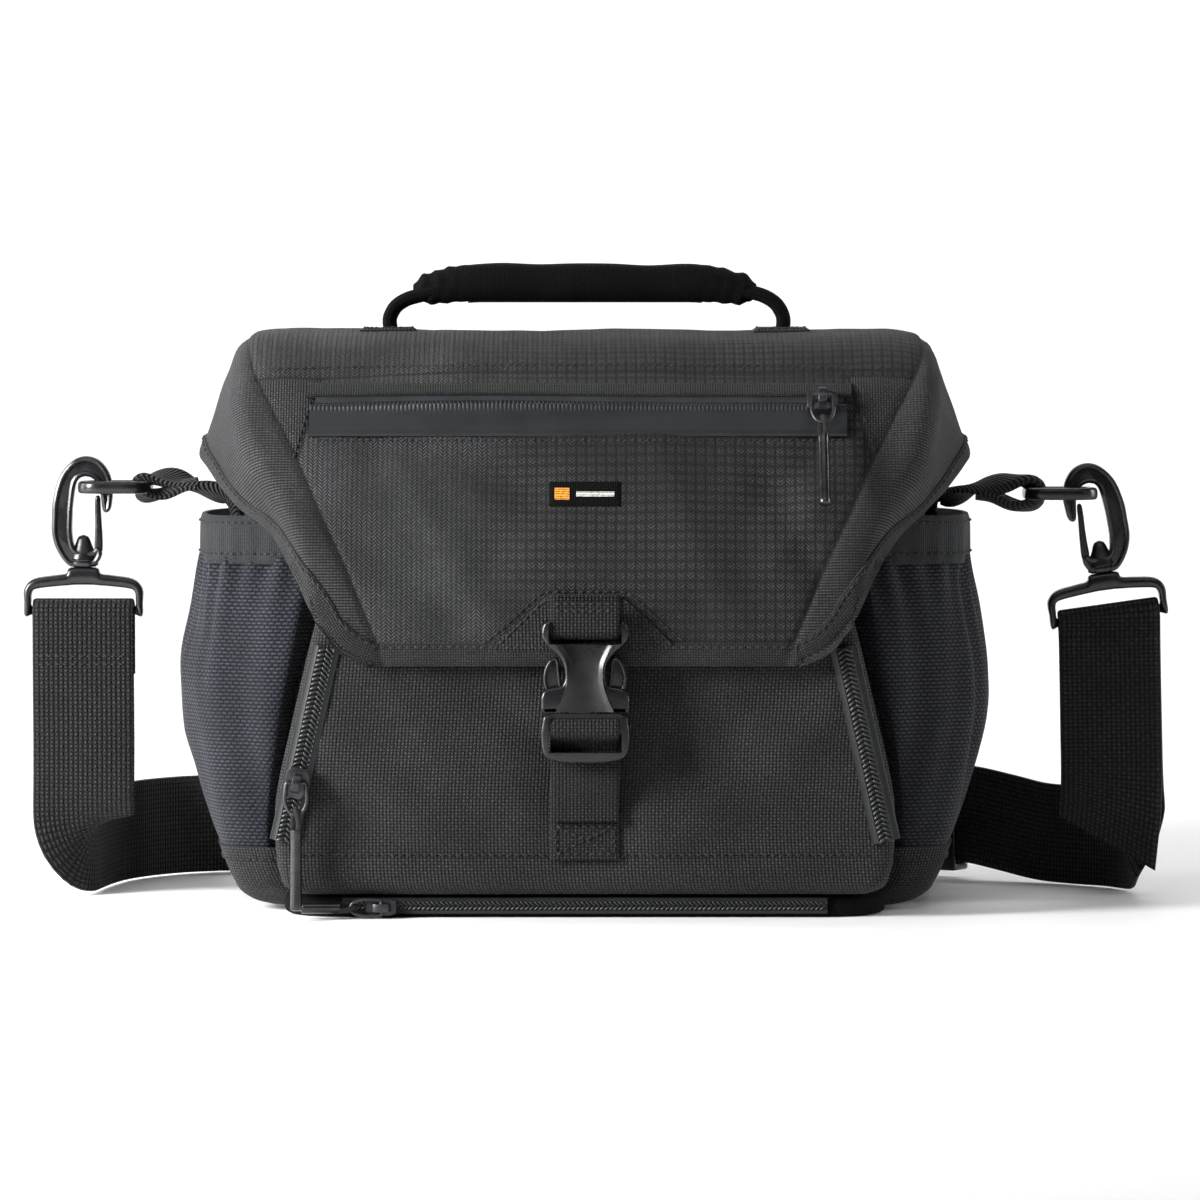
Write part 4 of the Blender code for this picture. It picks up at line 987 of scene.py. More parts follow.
def pocket_relief(cloth):
    """How far the front pocket's cloth stands out: a bulge, folds, a sewn line at its foot and unevenness."""
    x, y, z = (cloth[..., i] for i in range(3))
    half = np.abs(x).max(axis=1, keepdims=True)
    face = np.clip((-66 - y) / 8, 0, 1) * np.clip((half - 6 - np.abs(x)) / 10, 0, 1)
    bulge = 1.6 * np.clip(1 - (x / 96) ** 2, 0, 1) * np.clip(1 - ((z - 62) / 60) ** 2, 0, 1)
    clear_of_web = 1 - 0.95 * np.exp(-(x / 19) ** 4) * np.clip((56 - z) / 10, 0, 1)
    height = face * clear_of_web * (bulge + 1.6 * fold_height(x, z, POCKET_FOLDS))
    height -= 0.7 * bell(z - 22, 1.4) * (y < -60)
    front = y < -55
    height += 0.6 * ripple(cloth, 50, 11) * front * clear_of_web + 0.12 * ripple(cloth, 16, 12) * front
    return height


def build_front_pocket():
    coarse = [[(x, y, z) for x, y in pocket_ring(half, front)] for z, half, front in POCKET_LEVELS]
    outer = catmull(coarse, 4)
    outer = spaced(outer, 1.9, guide=outer[:, 60])
    outer[..., 1] -= pocket_relief(outer)
    lining = catmull([[(x, y, z) for x, y in pocket_ring(half, front, 3.0, 4)]
                      for z, half, front in POCKET_LEVELS[:1:-1]], 3)
    rings = np.concatenate([outer, lining])
    paint_rows = [0] * (len(outer) - 1) + [1] * (len(lining) + 1)
    weave = np.concatenate([weave_of(outer), weave_of(lining)])
    pocket = loft_piece("front_pocket_cloth", rings, ("ballistic", "lining", "ribbed"), "bag",
                        weave=weave, row_paint=paint_rows)
    paint_gussets(pocket)
    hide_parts("front_pocket")
    face = Surface(outer[:, 5:125])
    sew("bag", *on_front(face, [(-104, 23.6), (104, 23.6)]), lift=0.1)


def paint_gussets(pocket):
    """The pocket's sides are ribbed."""
    for face in pocket.data.polygons:
        middle = face.center / MM
        if face.material_index == 0 and -77 < middle.y < -50.6 and abs(middle.x) > 70:
            face.material_index = 2


def zip_run(name, start, end, width, node, coil=(1.75, 2.3, 0.62)):
    """A coil zip between two points: two tapes with a cord edge and slanted teeth that meet.

    coil is the teeth's pitch, their length and their thickness.
    """
    pitch, tooth, thread = coil
    start, end, out = np.asarray(start, float), np.asarray(end, float), np.array([0, -1.0, 0])
    along = unit(end - start)
    out = unit(out - along * (out @ along))
    side = np.cross(out, along)
    long = np.linalg.norm(end - start)
    steps = np.linspace(0, long, max(int(long / 2), 2))
    profile = [(-width, 0.05), (-width + 0.3, 0.6), (-tooth - 1.6, 0.75), (-tooth - 0.6, 1.2),
               (-tooth + 0.4, 0.8), (0, 0.55)]
    profile += [(-a, b) for a, b in profile[-2::-1]]
    grid = np.array([[start + along * s + side * a + out * b for s in steps] for a, b in profile])
    tape = sheet_piece(name + "_tape", grid, grid - out * 0.5, "tape", "bag", "zip_tape",
                       weave=weave_of(grid))
    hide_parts(node)
    bars = []
    for i in range(int(long / pitch)):
        middle = start + along * ((i + 0.5) * pitch) + out * 1.15
        for way in (-1, 1):
            bars.append([middle + side * way * tooth - along * 0.75,
                         middle + side * way * 0.25 + along * 0.6])
    teeth_piece(name + "_coil", bars, thread, "bag", out)


# Two points on the right pocket zip's line, with x mirrored for the left one
POCKET_ZIP = np.array([(105.5, -84, 44.0), (93.5, -84, 98.0)])


def build_pocket_zips():
    for word, side in (("left", -1), ("right", 1)):
        low, high = POCKET_ZIP * [side, 1, 1]
        along = unit(high - low)
        start, end = (low + along * s + [0, -0.4, 0] for s in (-16, 56))
        zip_run(f"pocket_zip_{word}_run", start, end, 5.2, f"pocket_zip_{word}")


# --- side pockets ---------------------------------------------------------------------------------

BODY_HALF, BODY_FRONT, BODY_BACK, BODY_CORNER = 126.0, -50.0, 85.0, 26.0
SIDE_LEVELS = ((10.6, 0.4), (12, 2.6), (16, 6), (30, 13), (60, 23), (86, 26), (110, 22), (130, 17))
BAND_LEVELS = (127.5, 145.2)


def pocket_half_width(z):
    heights, halves, _ = zip(*POCKET_LEVELS)
    return float(np.interp(z, heights, halves))


def side_plan(depth, from_x):
    """Plan of a side pocket's wall, front to back, on the right side."""
    reach = max(from_x - (BODY_HALF - BODY_CORNER), 0)
    front_y = BODY_FRONT + BODY_CORNER - math.sqrt((BODY_CORNER + 0.9) ** 2 - reach ** 2)
    through = [(from_x, front_y - 0.4), (from_x + 0.35 * (BODY_HALF - from_x), front_y - 0.28 * depth),
               (BODY_HALF + 0.50 * depth, -43), (BODY_HALF + 0.88 * depth, -24), (BODY_HALF + depth, 4),
               (BODY_HALF + 0.92 * depth, 32), (BODY_HALF + 0.62 * depth, 56), (BODY_HALF + 4.1, 74)]
    return catmull(through, 5)


def wall_grid(rows, steps, spacing, sign):
    """A fine, even grid through coarse rows of the right side, mirrored where sign is -1."""
    grid = catmull(rows, steps)
    grid = spaced(grid, spacing, guide=grid[:, 20])
    across = grid.swapaxes(0, 1)
    grid = spaced(across, spacing, guide=across[:, -1]).swapaxes(0, 1)
    return grid * np.array([sign, 1, 1])


def side_wall(levels, sign, spacing=1.8):
    rows = [[(x, y, z) for x, y in side_plan(depth, pocket_half_width(z) + 2)] for z, depth in levels]
    return wall_grid(rows, 6, spacing, sign)


def knit_relief(weave, grid, seed):
    """Puckers under the band and soft upright folds."""
    u, z = weave[..., 0], grid[..., 2]
    chance = np.random.default_rng(seed)
    height = 1.3 * np.exp(-(130 - z) / 16) * np.sin(u * TAU / 9.5 + 1.4 * np.sin(u / 11 + seed))
    free = np.clip((z - 16) / 20, 0, 1) * np.clip((132 - z) / 10, 0.3, 1)
    for place in np.linspace(-58, 58, 8):
        centre = place + chance.uniform(-5, 5) + chance.uniform(-0.12, 0.12) * (z - 80)
        width = chance.uniform(4, 8)
        bottom = chance.uniform(20, 75)
        fold = chance.uniform(-2.6, -1.0) * bell(u - centre, width) * free
        height += fold * np.clip((z - bottom) / 30 + 0.3, 0, 1)
    return height + 0.5 * ripple(grid, 34, seed) * free


def build_side_pockets():
    for word, sign, seed in (("left", -1, 21), ("right", 1, 33)):
        grid = side_wall(SIDE_LEVELS, sign)
        weave = weave_of(grid)
        normals = grid_normals(grid, (sign * 60, 20, 80))
        height = knit_relief(weave, grid, seed)
        outer, inner = (grid + normals * (height - depth)[..., None] for depth in (0, 1.2))
        wall = sheet_piece(f"side_pocket_{word}_knit", outer, inner, "knit", "bag", "mesh_knit", weave=weave)
        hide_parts(f"side_pocket_{word}")
        build_band(word, sign, seed)
        build_base(word, sign)


# The tub's base at the sides, as height, depth past the tub, inset and the x where it starts
BASE_LEVELS = ((23.4, 10.9, 0, 108), (19, 9.0, 0, 107.8), (15, 6.9, 0, 107.6), (12, 4.6, 0, 107.8),
               (9.6, 3.2, 0.4, 107.8), (7.2, 2.0, 1.6, 100.5), (5, 1.2, 4.2, 100.5), (3.4, 0.8, 7.6, 100.5),
               (2.4, 0.6, 12, 100.5))
BASE_INNER_X = 100


def build_base(word, sign):
    """Plain cloth below the knit, sewn along its top and turned in under the tub."""
    rows = []
    for z, depth, inset, from_x in BASE_LEVELS:
        low = BASE_INNER_X if inset else 0
        rows.append([(max(x - inset, low), y, z) for x, y in side_plan(depth, from_x)])
    grid = wall_grid(rows, 4, 1.6, sign)
    normals = grid_normals(grid, (sign * 60, 20, 40))
    outer = grid + normals * (0.35 + 0.35 * ripple(grid, 24, 61))[..., None]
    sheet_piece(f"side_base_{word}_cloth", outer, outer - normals * 0.8, "ballistic", "bag", "body_fabric",
                weave=weave_of(grid))
    sew("bag", outer[3], normals[3], lift=0.05)


def build_band(word, sign, seed):
    """Elastic round the pocket's mouth, a little puckered, with a hem sewn along its lower edge."""
    depth = SIDE_LEVELS[-1][1]
    grid = side_wall([(z, depth) for z in np.linspace(*BAND_LEVELS, 4)], sign, 1.3)
    weave = weave_of(grid)
    normals = grid_normals(grid, (sign * 60, 20, 136))
    rows = np.linspace(0, 1, len(grid))[:, None]
    u = weave[..., 0]
    height = 0.9 + 0.25 * np.sin(u * TAU / 7 + 2 * np.sin(u / 13 + seed)) * (1 - rows)
    height = height * (1 - np.abs(2 * rows - 1) ** 6 * 0.8) + 0.25 * ripple(grid, 30, seed + 1)
    outer = grid + normals * height[..., None]
    band = sheet_piece(f"elastic_band_{word}_tape", outer, grid - normals * 1.6, "elastic", "bag", "webbing",
                       weave=weave)
    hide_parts(f"elastic_band_{word}")
    for row in (3, len(grid) - 3):
        sew("bag", outer[row], normals[row], pitch=2.8, length=2.0, lift=0.05)


# --- padded tub -----------------------------------------------------------------------------------


def rounded_plan(half_x, low_y, high_y, radius, count):
    """A closed rounded rectangle as evenly spaced points, starting in the middle of the front."""
    corners = ((half_x - radius, low_y + radius, -90), (half_x - radius, high_y - radius, 0),
               (-half_x + radius, high_y - radius, 90), (-half_x + radius, low_y + radius, 180))
    line = [(0, low_y)]
    for x, y, start in corners:
        for angle in np.radians(np.linspace(start, start + 90, 10)):
            line.append((x + radius * math.cos(angle), y + radius * math.sin(angle)))
    line.append((0, low_y))
    line = np.array(line)
    along = lengths(line)
    return read_at(np.linspace(0, along[-1], count + 1)[:-1], along, line)


def tub_plan(inset):
    corner = max(BODY_CORNER - inset, 6)
    return rounded_plan(BODY_HALF - inset, BODY_FRONT + inset, BODY_BACK - inset, corner, 330)


# The tub's outside and inside as height and inset, and how many fine rows of the outside are uneven
TUB_OUTER = ((8.5, 16), (8.6, 13), (10, 9), (13.5, 5.2), (18, 2.6), (24, 1.0), (34, 0.1), (48, 0), (64, 0),
             (82, 0), (100, 0), (118, 0), (136, 0), (154, 0), (168, 0), (180, 0.2), (190, 0.9), (194.5, 1.6),
             (196.4, 3.4), (196.4, 6))
TUB_INNER = ((194.6, 8), (190, 8.4), (178, 8), (150, 7.8), (110, 7.8), (70, 7.8), (34, 7.8), (22, 8.4),
             (17.4, 11))
TUB_UNEVEN_ROWS = 40
TUB_SEAM_Z = 21


def build_tub():
    rings = [[(x, y, z) for x, y in tub_plan(inset)] for z, inset in TUB_OUTER + TUB_INNER]
    fine = catmull(rings, 4)
    wall = fine[:TUB_UNEVEN_ROWS]
    height = 0.35 * ripple(wall, 45, 41) - 0.8 * bell(wall[..., 2] - TUB_SEAM_Z, 1.2)
    wall += grid_normals(wall, (0, 17, 60)) * height[..., None]
    outside = 4 * len(TUB_OUTER) - 3
    paints = [2 if z < TUB_SEAM_Z else 0 for z in fine[:outside, 0, 2]]
    paints = [3 if row > outside - 14 else kind for row, kind in enumerate(paints)]
    paints += [1] * (len(fine) - outside)
    tub = loft_piece("tub_cloth", fine, ("ballistic", "lining", "ribbed", "binding"), "bag",
                     row_paint=paints)
    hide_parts("tub_shell")
    for level in (22.8, 189.5):
        row = int(np.argmin(np.abs(fine[:outside, 0, 2] - level)))
        ring = np.concatenate([fine[row], fine[row][:1]])
        out = unit(ring - np.array([0, 17, level]))
        out[:, 2] = 0
        sew("bag", ring, unit(out), lift=0.1)


def build_pouch():
    levels = ((0, 5), (0.02, 2.6), (0.9, 0.8), (2.4, 0.1), (5, 0), (6.8, 0.5), (7.8, 2.4), (7.9, 6))
    rings = [[(x, y, z) for x, y in rounded_plan(110 - i, -76 + i, 78 - i, 20, 240)] for z, i in levels]
    rings = catmull(rings, 2)
    rings[..., 2] = np.maximum(rings[..., 2], 0)
    pouch = loft_piece("rain_cover_pouch_cloth", rings, "black_cloth", "bag")
    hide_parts("rain_cover_pouch")
    zip_run("rain_zip_run", (-88, -76.4, 4.4), (88, -76.4, 4.4), 2.6, "rain_zip_tape", (1.7, 1.3, 0.45))


def pad_rings(outline, levels, quilting):
    """A pad with a flat back: the outline shrinks level by level and closes in the middle.

    levels are (share kept, height), and the rings' last number is the height.
    """
    centre = (outline.max(0) + outline.min(0)) / 2
    rings = []
    for share, high in levels:
        ring = centre + (outline - centre) * share
        rings.append(np.concatenate([ring, np.full((len(ring), 1), high)], 1))
    rings = np.array(rings)
    rings[..., 2] += quilting(rings[..., 0], rings[..., 1]) * np.clip(rings[..., 2] / 6, 0, 1)
    rings[..., 2] += 0.3 * ripple(rings, 26, 51) * np.clip(rings[..., 2] / 6, 0, 1)
    return rings


def build_back_panel():
    plan = rounded_plan(113, 16, 189, 20, 220)
    shares = [(1, 0), (1.001, 2.2), (0.998, 4.6), (0.988, 6.4), (0.97, 7.4)]
    shares += [(s, 7.9) for s in np.linspace(0.945, 0.02, 44)]

    def channels(x, z):
        across = -1.9 * bell(np.abs(x) - 38, 2.2) * (z > 30) * (z < 175)
        level = -1.9 * bell(z - 62, 2.2) - 1.9 * bell(z - 142, 2.2)
        return across + level * (np.abs(x) < 98)

    flat = pad_rings(plan, shares, channels)
    rings = np.stack([flat[..., 0], BODY_BACK + 0.4 + flat[..., 2], flat[..., 1]], -1)
    weave = np.stack([flat[..., 0], flat[..., 1], flat[..., 2] * 0], -1)
    panel = loft_piece("back_panel_pad", rings, "spacer", "bag", weave=weave, smooth=180)
    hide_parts("back_panel")
    edge = np.array([(x, BODY_BACK + 2.8, z) for x, z in rounded_plan(113.6, 15.4, 189.6, 20.5, 240)])
    tube_piece("back_panel_piping", edge, 1.7, "binding", "bag", up=(0, 1, 0), closed=True)


# The cloth hinge that joins the flap to the back, as y, z
HINGE_PROFILE = ((85.8, 186), (86.0, 190), (86.9, 195), (87.8, 199.5), (87.6, 203.2), (85.4, 206.3),
                 (82, 208.2), (77.5, 209.6))


def build_hinge_strip():
    profile = spaced(catmull(np.array(HINGE_PROFILE), 6), 1.5)
    xs = np.linspace(-122, 122, 140)
    outer = np.array([[(x, y, z) for x in xs] for y, z in profile])
    outer = outer + grid_normals(outer, (0, 0, 150)) * (0.2 * ripple(outer, 24, 71))[..., None]
    inner = outer - grid_normals(outer, (0, 0, 150)) * 1.1
    strip = sheet_piece("flap_hinge_strip", outer, inner, "ribbed", None, "flap_fabric",
                        weave=weave_of(outer))
    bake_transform(strip)


# --- inside ---------------------------------------------------------------------------------------

CLOTH_FRAMES = 20
CLOTH_QUALITY = 6


def puffed(name, points, faces, paint, body, voxel, pressure, cap, weave_axes):
    """A padded piece: remeshed evenly, blown up by the cloth solver, held to a cap, then subdivided once."""
    piece = fix_normals(raw_piece(name, points, faces))
    bake(piece, [("remesh", "REMESH", {"mode": "VOXEL", "voxel_size": voxel * MM, "use_smooth_shade": True})])
    before = positions(piece)
    cloth = piece.modifiers.new("cloth", "CLOTH")
    cloth.settings.use_pressure = True
    cloth.settings.uniform_pressure_force = pressure
    cloth.settings.effector_weights.gravity = 0
    cloth.settings.quality = CLOTH_QUALITY
    cloth.point_cache.frame_end = CLOTH_FRAMES
    scene = bpy.context.scene
    for step in range(1, CLOTH_FRAMES + 1):
        scene.frame_set(step)
    bake(piece, [])
    scene.frame_set(1)
    moved = positions(piece) - before
    far = np.linalg.norm(moved, axis=1, keepdims=True)
    set_positions(piece, before + moved * np.minimum(1, cap * MM / np.maximum(far, 1e-9)))
    bake(piece, [("subdivide", "SUBSURF", {"levels": 1, "render_levels": 1})])
    weave = positions(piece)[:, [*weave_axes, 0]] / MM
    weave[:, 2] = 0
    layer = piece.data.attributes.new("weave", "FLOAT_VECTOR", "POINT")
    layer.data.foreach_set("vector", weave.astype(np.float32).reshape(-1))
    repaint(piece, paint)
    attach(piece, body)
    return piece


def repaint(piece, paint):
    piece.data.materials.clear()
    piece.data.materials.append(PAINTS[paint])
    piece.data.shade_smooth()


def positions(piece):
    values = np.zeros(len(piece.data.vertices) * 3, np.float32)
    piece.data.vertices.foreach_get("co", values)
    return values.reshape(-1, 3).astype(float)


def set_positions(piece, values):
    piece.data.vertices.foreach_set("co", np.asarray(values, np.float32).reshape(-1))
    piece.data.update()


def bake(piece, modifiers):
    """Adds the modifiers, then turns the piece into the mesh that they and any others make."""
    for key, kind, settings in modifiers:
        modifier = piece.modifiers.new(key, kind)
        for setting, value in settings.items():
            setattr(modifier, setting, value)
    bpy.context.view_layer.update()
    graph = bpy.context.evaluated_depsgraph_get()
    made = bpy.data.meshes.new_from_object(piece.evaluated_get(graph))
    piece.modifiers.clear()
    old = piece.data
    piece.data = made
    bpy.data.meshes.remove(old)


def box_mesh(low, high):
    (x0, y0, z0), (x1, y1, z1) = low, high
    points = [(x, y, z) for z in (z0, z1) for x, y in ((x0, y0), (x1, y0), (x1, y1), (x0, y1))]
    return points, [(3, 2, 1, 0), (4, 5, 6, 7), (0, 1, 5, 4), (1, 2, 6, 5), (2, 3, 7, 6), (3, 0, 4, 7)]


def build_inside():
    for word in ("left", "right"):
        low, high = (np.array(corner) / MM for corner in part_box(f"divider_{word}"))
        points, faces = box_mesh(low + [0.9, 1.2, 1.2], high - [0.9, 1.2, 1.2])
        piece = puffed(f"divider_{word}_pad", points, faces, "lining", "bag", 4.0, 4, 1.2, (1, 2))
        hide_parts(f"divider_{word}")
        x, front, back = (low[0] + high[0]) / 2, low[1] + 1.5, high[1] - 1.5
        rim = [(x, front, low[2] + 3), (x, front, high[2] - 3), (x, back, high[2] - 3), (x, back, low[2] + 3)]
        tube_piece(f"divider_{word}_piping", spaced(rim, 3), 1.6, "binding", "bag", up=(1, 0, 0))
    low, high = (np.array(corner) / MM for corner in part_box("floor_board"))
    plan = rounded_plan((high[0] - low[0]) / 2, low[1], high[1], 10, 160)
    middle = (BODY_FRONT + BODY_BACK) / 2
    levels = ((0.99, low[2]), (1, low[2] + 0.6), (1, high[2] - 0.7), (0.985, high[2]), (0.6, high[2] + 0.05),
              (0.1, high[2]))
    rings = np.array([[(x * s, (y - middle) * s + middle, z) for x, y in plan] for s, z in levels])
    board = loft_piece("floor_board_cloth", rings, "board", "bag", weave=rings)
    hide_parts("floor_board")


MAIN_ZIP_OUT = 0.7
MAIN_ZIP_Z = 169.0


def main_zip_path():
    """The main zip's line, round the tub's front from left to right."""
    x, y = BODY_HALF - BODY_CORNER, BODY_FRONT + BODY_CORNER
    radius = BODY_CORNER + MAIN_ZIP_OUT
    half = [(x + radius * math.cos(angle), y + radius * math.sin(angle), MAIN_ZIP_Z)
            for angle in np.radians(np.linspace(-90, 0, 14))]
    half.append((x + radius, 76.0, MAIN_ZIP_Z))
    return spaced([(-x, y, z) for x, y, z in half[::-1]] + half, 2.0)


def build_main_zip():
    path = main_zip_path()
    up = np.array([0, 0, 1.0])
    along = unit(np.gradient(path, axis=0))
    out = unit(np.cross(along, up))
    half = ((-6, 0.1), (-5.7, 0.6), (-3.6, 0.75), (-2.6, 1.2), (-1.8, 0.8), (0, 0.6))
    profile = half + tuple((-a, b) for a, b in half[-2::-1])
    grid = np.array([path + up * a + out * b for a, b in profile])
    tape = sheet_piece("main_zip_tape_cloth", grid, grid - out * 0.4, "tape", "bag", "zip_tape",
                       weave=weave_of(grid))
    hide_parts("main_zip_tape")
    long = lengths(path)
    at = np.arange(0, long[-1], 1.75)
    bars = []
    outs, ways = (unit(read_at(at, long, field)) for field in (out, along))
    for place, n, w in zip(read_at(at, long, path), outs, ways):
        middle = place + n * 1.1
        for sign in (-1, 1):
            bars.append([middle + up * sign * 1.9 - w * 0.7, middle + up * sign * 0.3 + w * 0.55])
    teeth_piece("main_zip_coil", bars, 0.5, "bag", up)


# --- handle ---------------------------------------------------------------------------------------


def build_handle(flap):
    y = -5.0
    top = 230.5
    xs = np.linspace(-64, 64, 45)
    end = np.clip((64 - np.abs(xs)) / 5, 0, 1)
    radius = (7.5 - 1.3 * np.clip((np.abs(xs) - 44) / 18, 0, 1)) * np.sqrt(1 - (1 - end) ** 2 * 0.75)
    droop = 4.5 * np.clip((np.abs(xs) - 38) / 26, 0, 1) ** 2
    path = np.stack([xs, np.full_like(xs, y), top + 0.5 - droop], 1)
    rings = tube_rings(path, radius, 18)
    sleeve = puffed("handle_sleeve", rings.reshape(-1, 3), capped(*rings.shape[:2]), "black_cloth", "handle",
                    3.2, 3, 0.9, (0, 2))
    place = positions(sleeve) / MM
    spread = np.abs(place[:, 0])
    fold = 0.5 * np.sin(place[:, 0] * 1.1 + 1.5 * np.sin(place[:, 2] * 0.4))
    fold = fold * np.clip((spread - 40) / 20, 0, 1) + 0.35 * ripple(place, 18, 61)
    middle = np.stack([place[:, 0], np.full(len(place), y), np.full(len(place), top)], 1)
    set_positions(sleeve, (place + unit(place - middle) * fold[:, None]) * MM)
    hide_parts("carry_handle")
    seam = np.stack([xs[7:-7], np.full(len(xs) - 14, y), path[7:-7, 2] - radius[7:-7] + 0.9], 1)
    tube_piece("handle_seam", seam, 0.9, "fine_webbing", "handle", up=(0, 1, 0))
    for word, sign in (("left", -1), ("right", 1)):
        route = [(56, top - 2.4), (61, top - 3.6), (66.5, top - 5.2), (70.6, top - 7.8), (72.8, top - 11.2),
                 (73.4, top - 14), (73, 213.2)]
        route = catmull([(sign * x, y, z) for x, z in route], 6)
        web = ribbon_piece(f"handle_web_{word}", route, (0, 1, 0), 12.5, 5.0, "black_cloth", None,
                           0.8)
        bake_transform(web)
        tab = top_patch(f"handle_tab_{word}_web", flap, sign * 73, y, 10.5, 13.5)
        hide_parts(f"handle_tab_{word}")


def top_patch(name, surface, x0, y0, half_x, half_y):
    xs, ys = np.linspace(-half_x, half_x, 14), np.linspace(-half_y, half_y, 16)
    above, down = 250, (0, 0, -1)
    grid = np.array([surface.cast([(x0 + x, y0 + y, above) for x in xs], down)[0] for y in ys])
    up = np.array([0, 0, 1.0])
    edge = np.full(grid.shape[:2], 1.5)
    edge[[0, -1]] = edge[:, [0, -1]] = 0.4
    outer = grid + up * edge[..., None]
    patch = sheet_piece(name, outer, grid - up * 0.2, "fine_webbing", "flap", "webbing", weave=weave_of(grid))
    lines = [[(-1, -1), (1, -1)], [(-1, 1), (1, 1)], [(-1, -1), (-1, 1)], [(1, -1), (1, 1)],
             [(-1, -1), (1, 1)]]
    for a, b in lines:
        ends = [(x0 + sx * (half_x - 1.6), y0 + sy * (half_y - 1.6), above) for sx, sy in (a, b)]
        sew("flap", *surface.cast(densify(ends), down), lift=1.15)
    return patch


# --- webbing --------------------------------------------------------------------------------------


def ribbon_rings(path, wide, width, thick, crown=0.0):
    """Flat webbing along a path, with round edges, and how far across each point of its rings is.

    wide is the width's direction, once or for each point of the path.
    """
    path = np.asarray(path, float)
    along = unit(np.gradient(path, axis=0))
    wide = np.broadcast_to(np.asarray(wide, float), path.shape)
    wide = unit(wide - along * np.sum(wide * along, axis=1, keepdims=True))
    out = np.cross(along, wide)
    half, deep = width / 2, thick / 2
    edge = [half - 0.3 * deep, half, half - 0.3 * deep]
    a = np.concatenate([np.linspace(-half + deep, half - deep, 11), edge])
    b = np.concatenate([np.full(11, deep), [0.7 * deep, 0, -0.7 * deep]])
    a, b = np.concatenate([a, -a]), np.concatenate([b, -b])
    b[:11] += crown * (1 - (a[:11] / half) ** 2)
    b[14:25] += crown * (1 - (a[14:25] / half) ** 2)
    return np.stack([path + wide * p + out * q for p, q in zip(a, b)], 1), a


def ribbon_piece(name, path, wide, width, thick, paint, body, crown=0.0, slant=0.0):
    """slant is how far the end leans, as a share of the width, over its last 30 mm."""
    path = np.asarray(path, float)
    rings, across = ribbon_rings(path, wide, width, thick, crown)
    along = lengths(path)
    lean = slant * np.clip((along - along[-1] + 30) / 30, 0, 1)[:, None, None] * across[None, :, None]
    rings = rings + lean * unit(np.gradient(path, axis=0))[:, None]
    weave = np.stack(np.broadcast_arrays(across[None, :], along[:, None], 0.0), -1)
    return loft_piece(name, rings, paint, body, weave=weave, smooth=60)


# The strap's route: x, y, z of its middle and how far its width has turned upright
STRAP_ROUTE = ((-188, 1.5, 104, 0), (-188, 2.0, 82, 0), (-188, 3.2, 60, 0), (-188.2, 5.0, 44, 0),
               (-188.5, 8.5, 30, 0.3), (-188, 15, 22, 0.72), (-186, 26, 19.8, 1), (-183, 50, 19.6, 1),
               (-176, 82, 19.6, 1), (-158, 110, 19.6, 1), (-128, 124, 19.6, 1), (-90, 131, 19.6, 1),
               (-45, 134, 19.6, 1), (0, 134, 19.6, 1), (45, 132, 19.6, 1), (88, 124, 19.8, 1),
               (122, 107, 25.2, 1), (150, 88, 25.2, 1), (176, 70, 20, 1), (198, 50, 19.6, 1),
               (206, 32, 20, 1), (203, 16, 23, 0.72), (199.5, 8.5, 32, 0.3), (198.2, 5.0, 46, 0),
               (197.6, 3.2, 62, 0), (197, 2.0, 82, 0), (196.6, 1.5, 102, 0))
# The loose layer that hangs in front of the right side, down to its slanted end
RETURN_ROUTE = ((196.4, 0.6, 98), (196.6, -1.2, 84), (196.9, -1.7, 66), (197.2, -1.9, 50), (197.0, -2.2, 36),
                (196.2, -2.4, 27), (195.6, -2.4, 21))
RETURN_SLANT = -0.44
STRAP_WIDTH = 38.0
STRAP_THICK = 2.3
LEFT_HOOK = (-188.0, 5.0, 123.7)
RIGHT_HOOK = (194.4, 5.0, 121.6)
RIGHT_TILT = math.radians(8)
EYE_HEIGHT = 30.8
EDGE_ANGLE = math.radians(38)
YOKE_BAR_DROP = 15.5


def hook_frame(side):
    if side < 0:
        return Matrix.Translation(LEFT_HOOK)
    return (Matrix.Translation(RIGHT_HOOK) @ Matrix.Rotation(-RIGHT_TILT, 4, "Y")
            @ Matrix.Scale(-1, 4, (1, 0, 0)))


def moved(matrix, points):
    points = np.asarray(points, float)
    turn = np.array(matrix)
    return points @ turn[:3, :3].T + turn[:3, 3]


def strap_line():
    """Middle points and width directions from the left yoke to the right one."""
    route = np.array(STRAP_ROUTE, float)
    places = catmull(route[:, :3], 2)
    turns = np.clip(catmull(route[:, 3:], 2)[:, 0], 0, 1)
    along = unit(np.gradient(places, axis=0))
    flat = np.where(np.arange(len(places))[:, None] < len(places) // 2, 1.0, -1.0) * np.array([1.0, 0, 0])
    wide = flat * (1 - turns[:, None]) + np.array([0, 0, 1.0]) * turns[:, None]
    wide = unit(wide - along * np.sum(wide * along, axis=1, keepdims=True))
    return places, wide


def yoke_loop(side):
    """The webbing's way round a yoke's bar, and its width's direction there."""
    radius = 3.53
    angles = math.pi * (1 - np.arange(9) / 8)
    local = np.stack([0 * angles, radius * np.cos(angles), -YOKE_BAR_DROP + radius * np.sin(angles)], 1)
    frame_turn = hook_frame(side)
    wide = unit(np.array(frame_turn)[:3, 0])
    return moved(frame_turn, local), np.repeat(wide[None], len(local), 0)


def off_face(places, wide, distance):
    along = unit(np.gradient(places, axis=0))
    return places - unit(np.cross(along, wide)) * distance


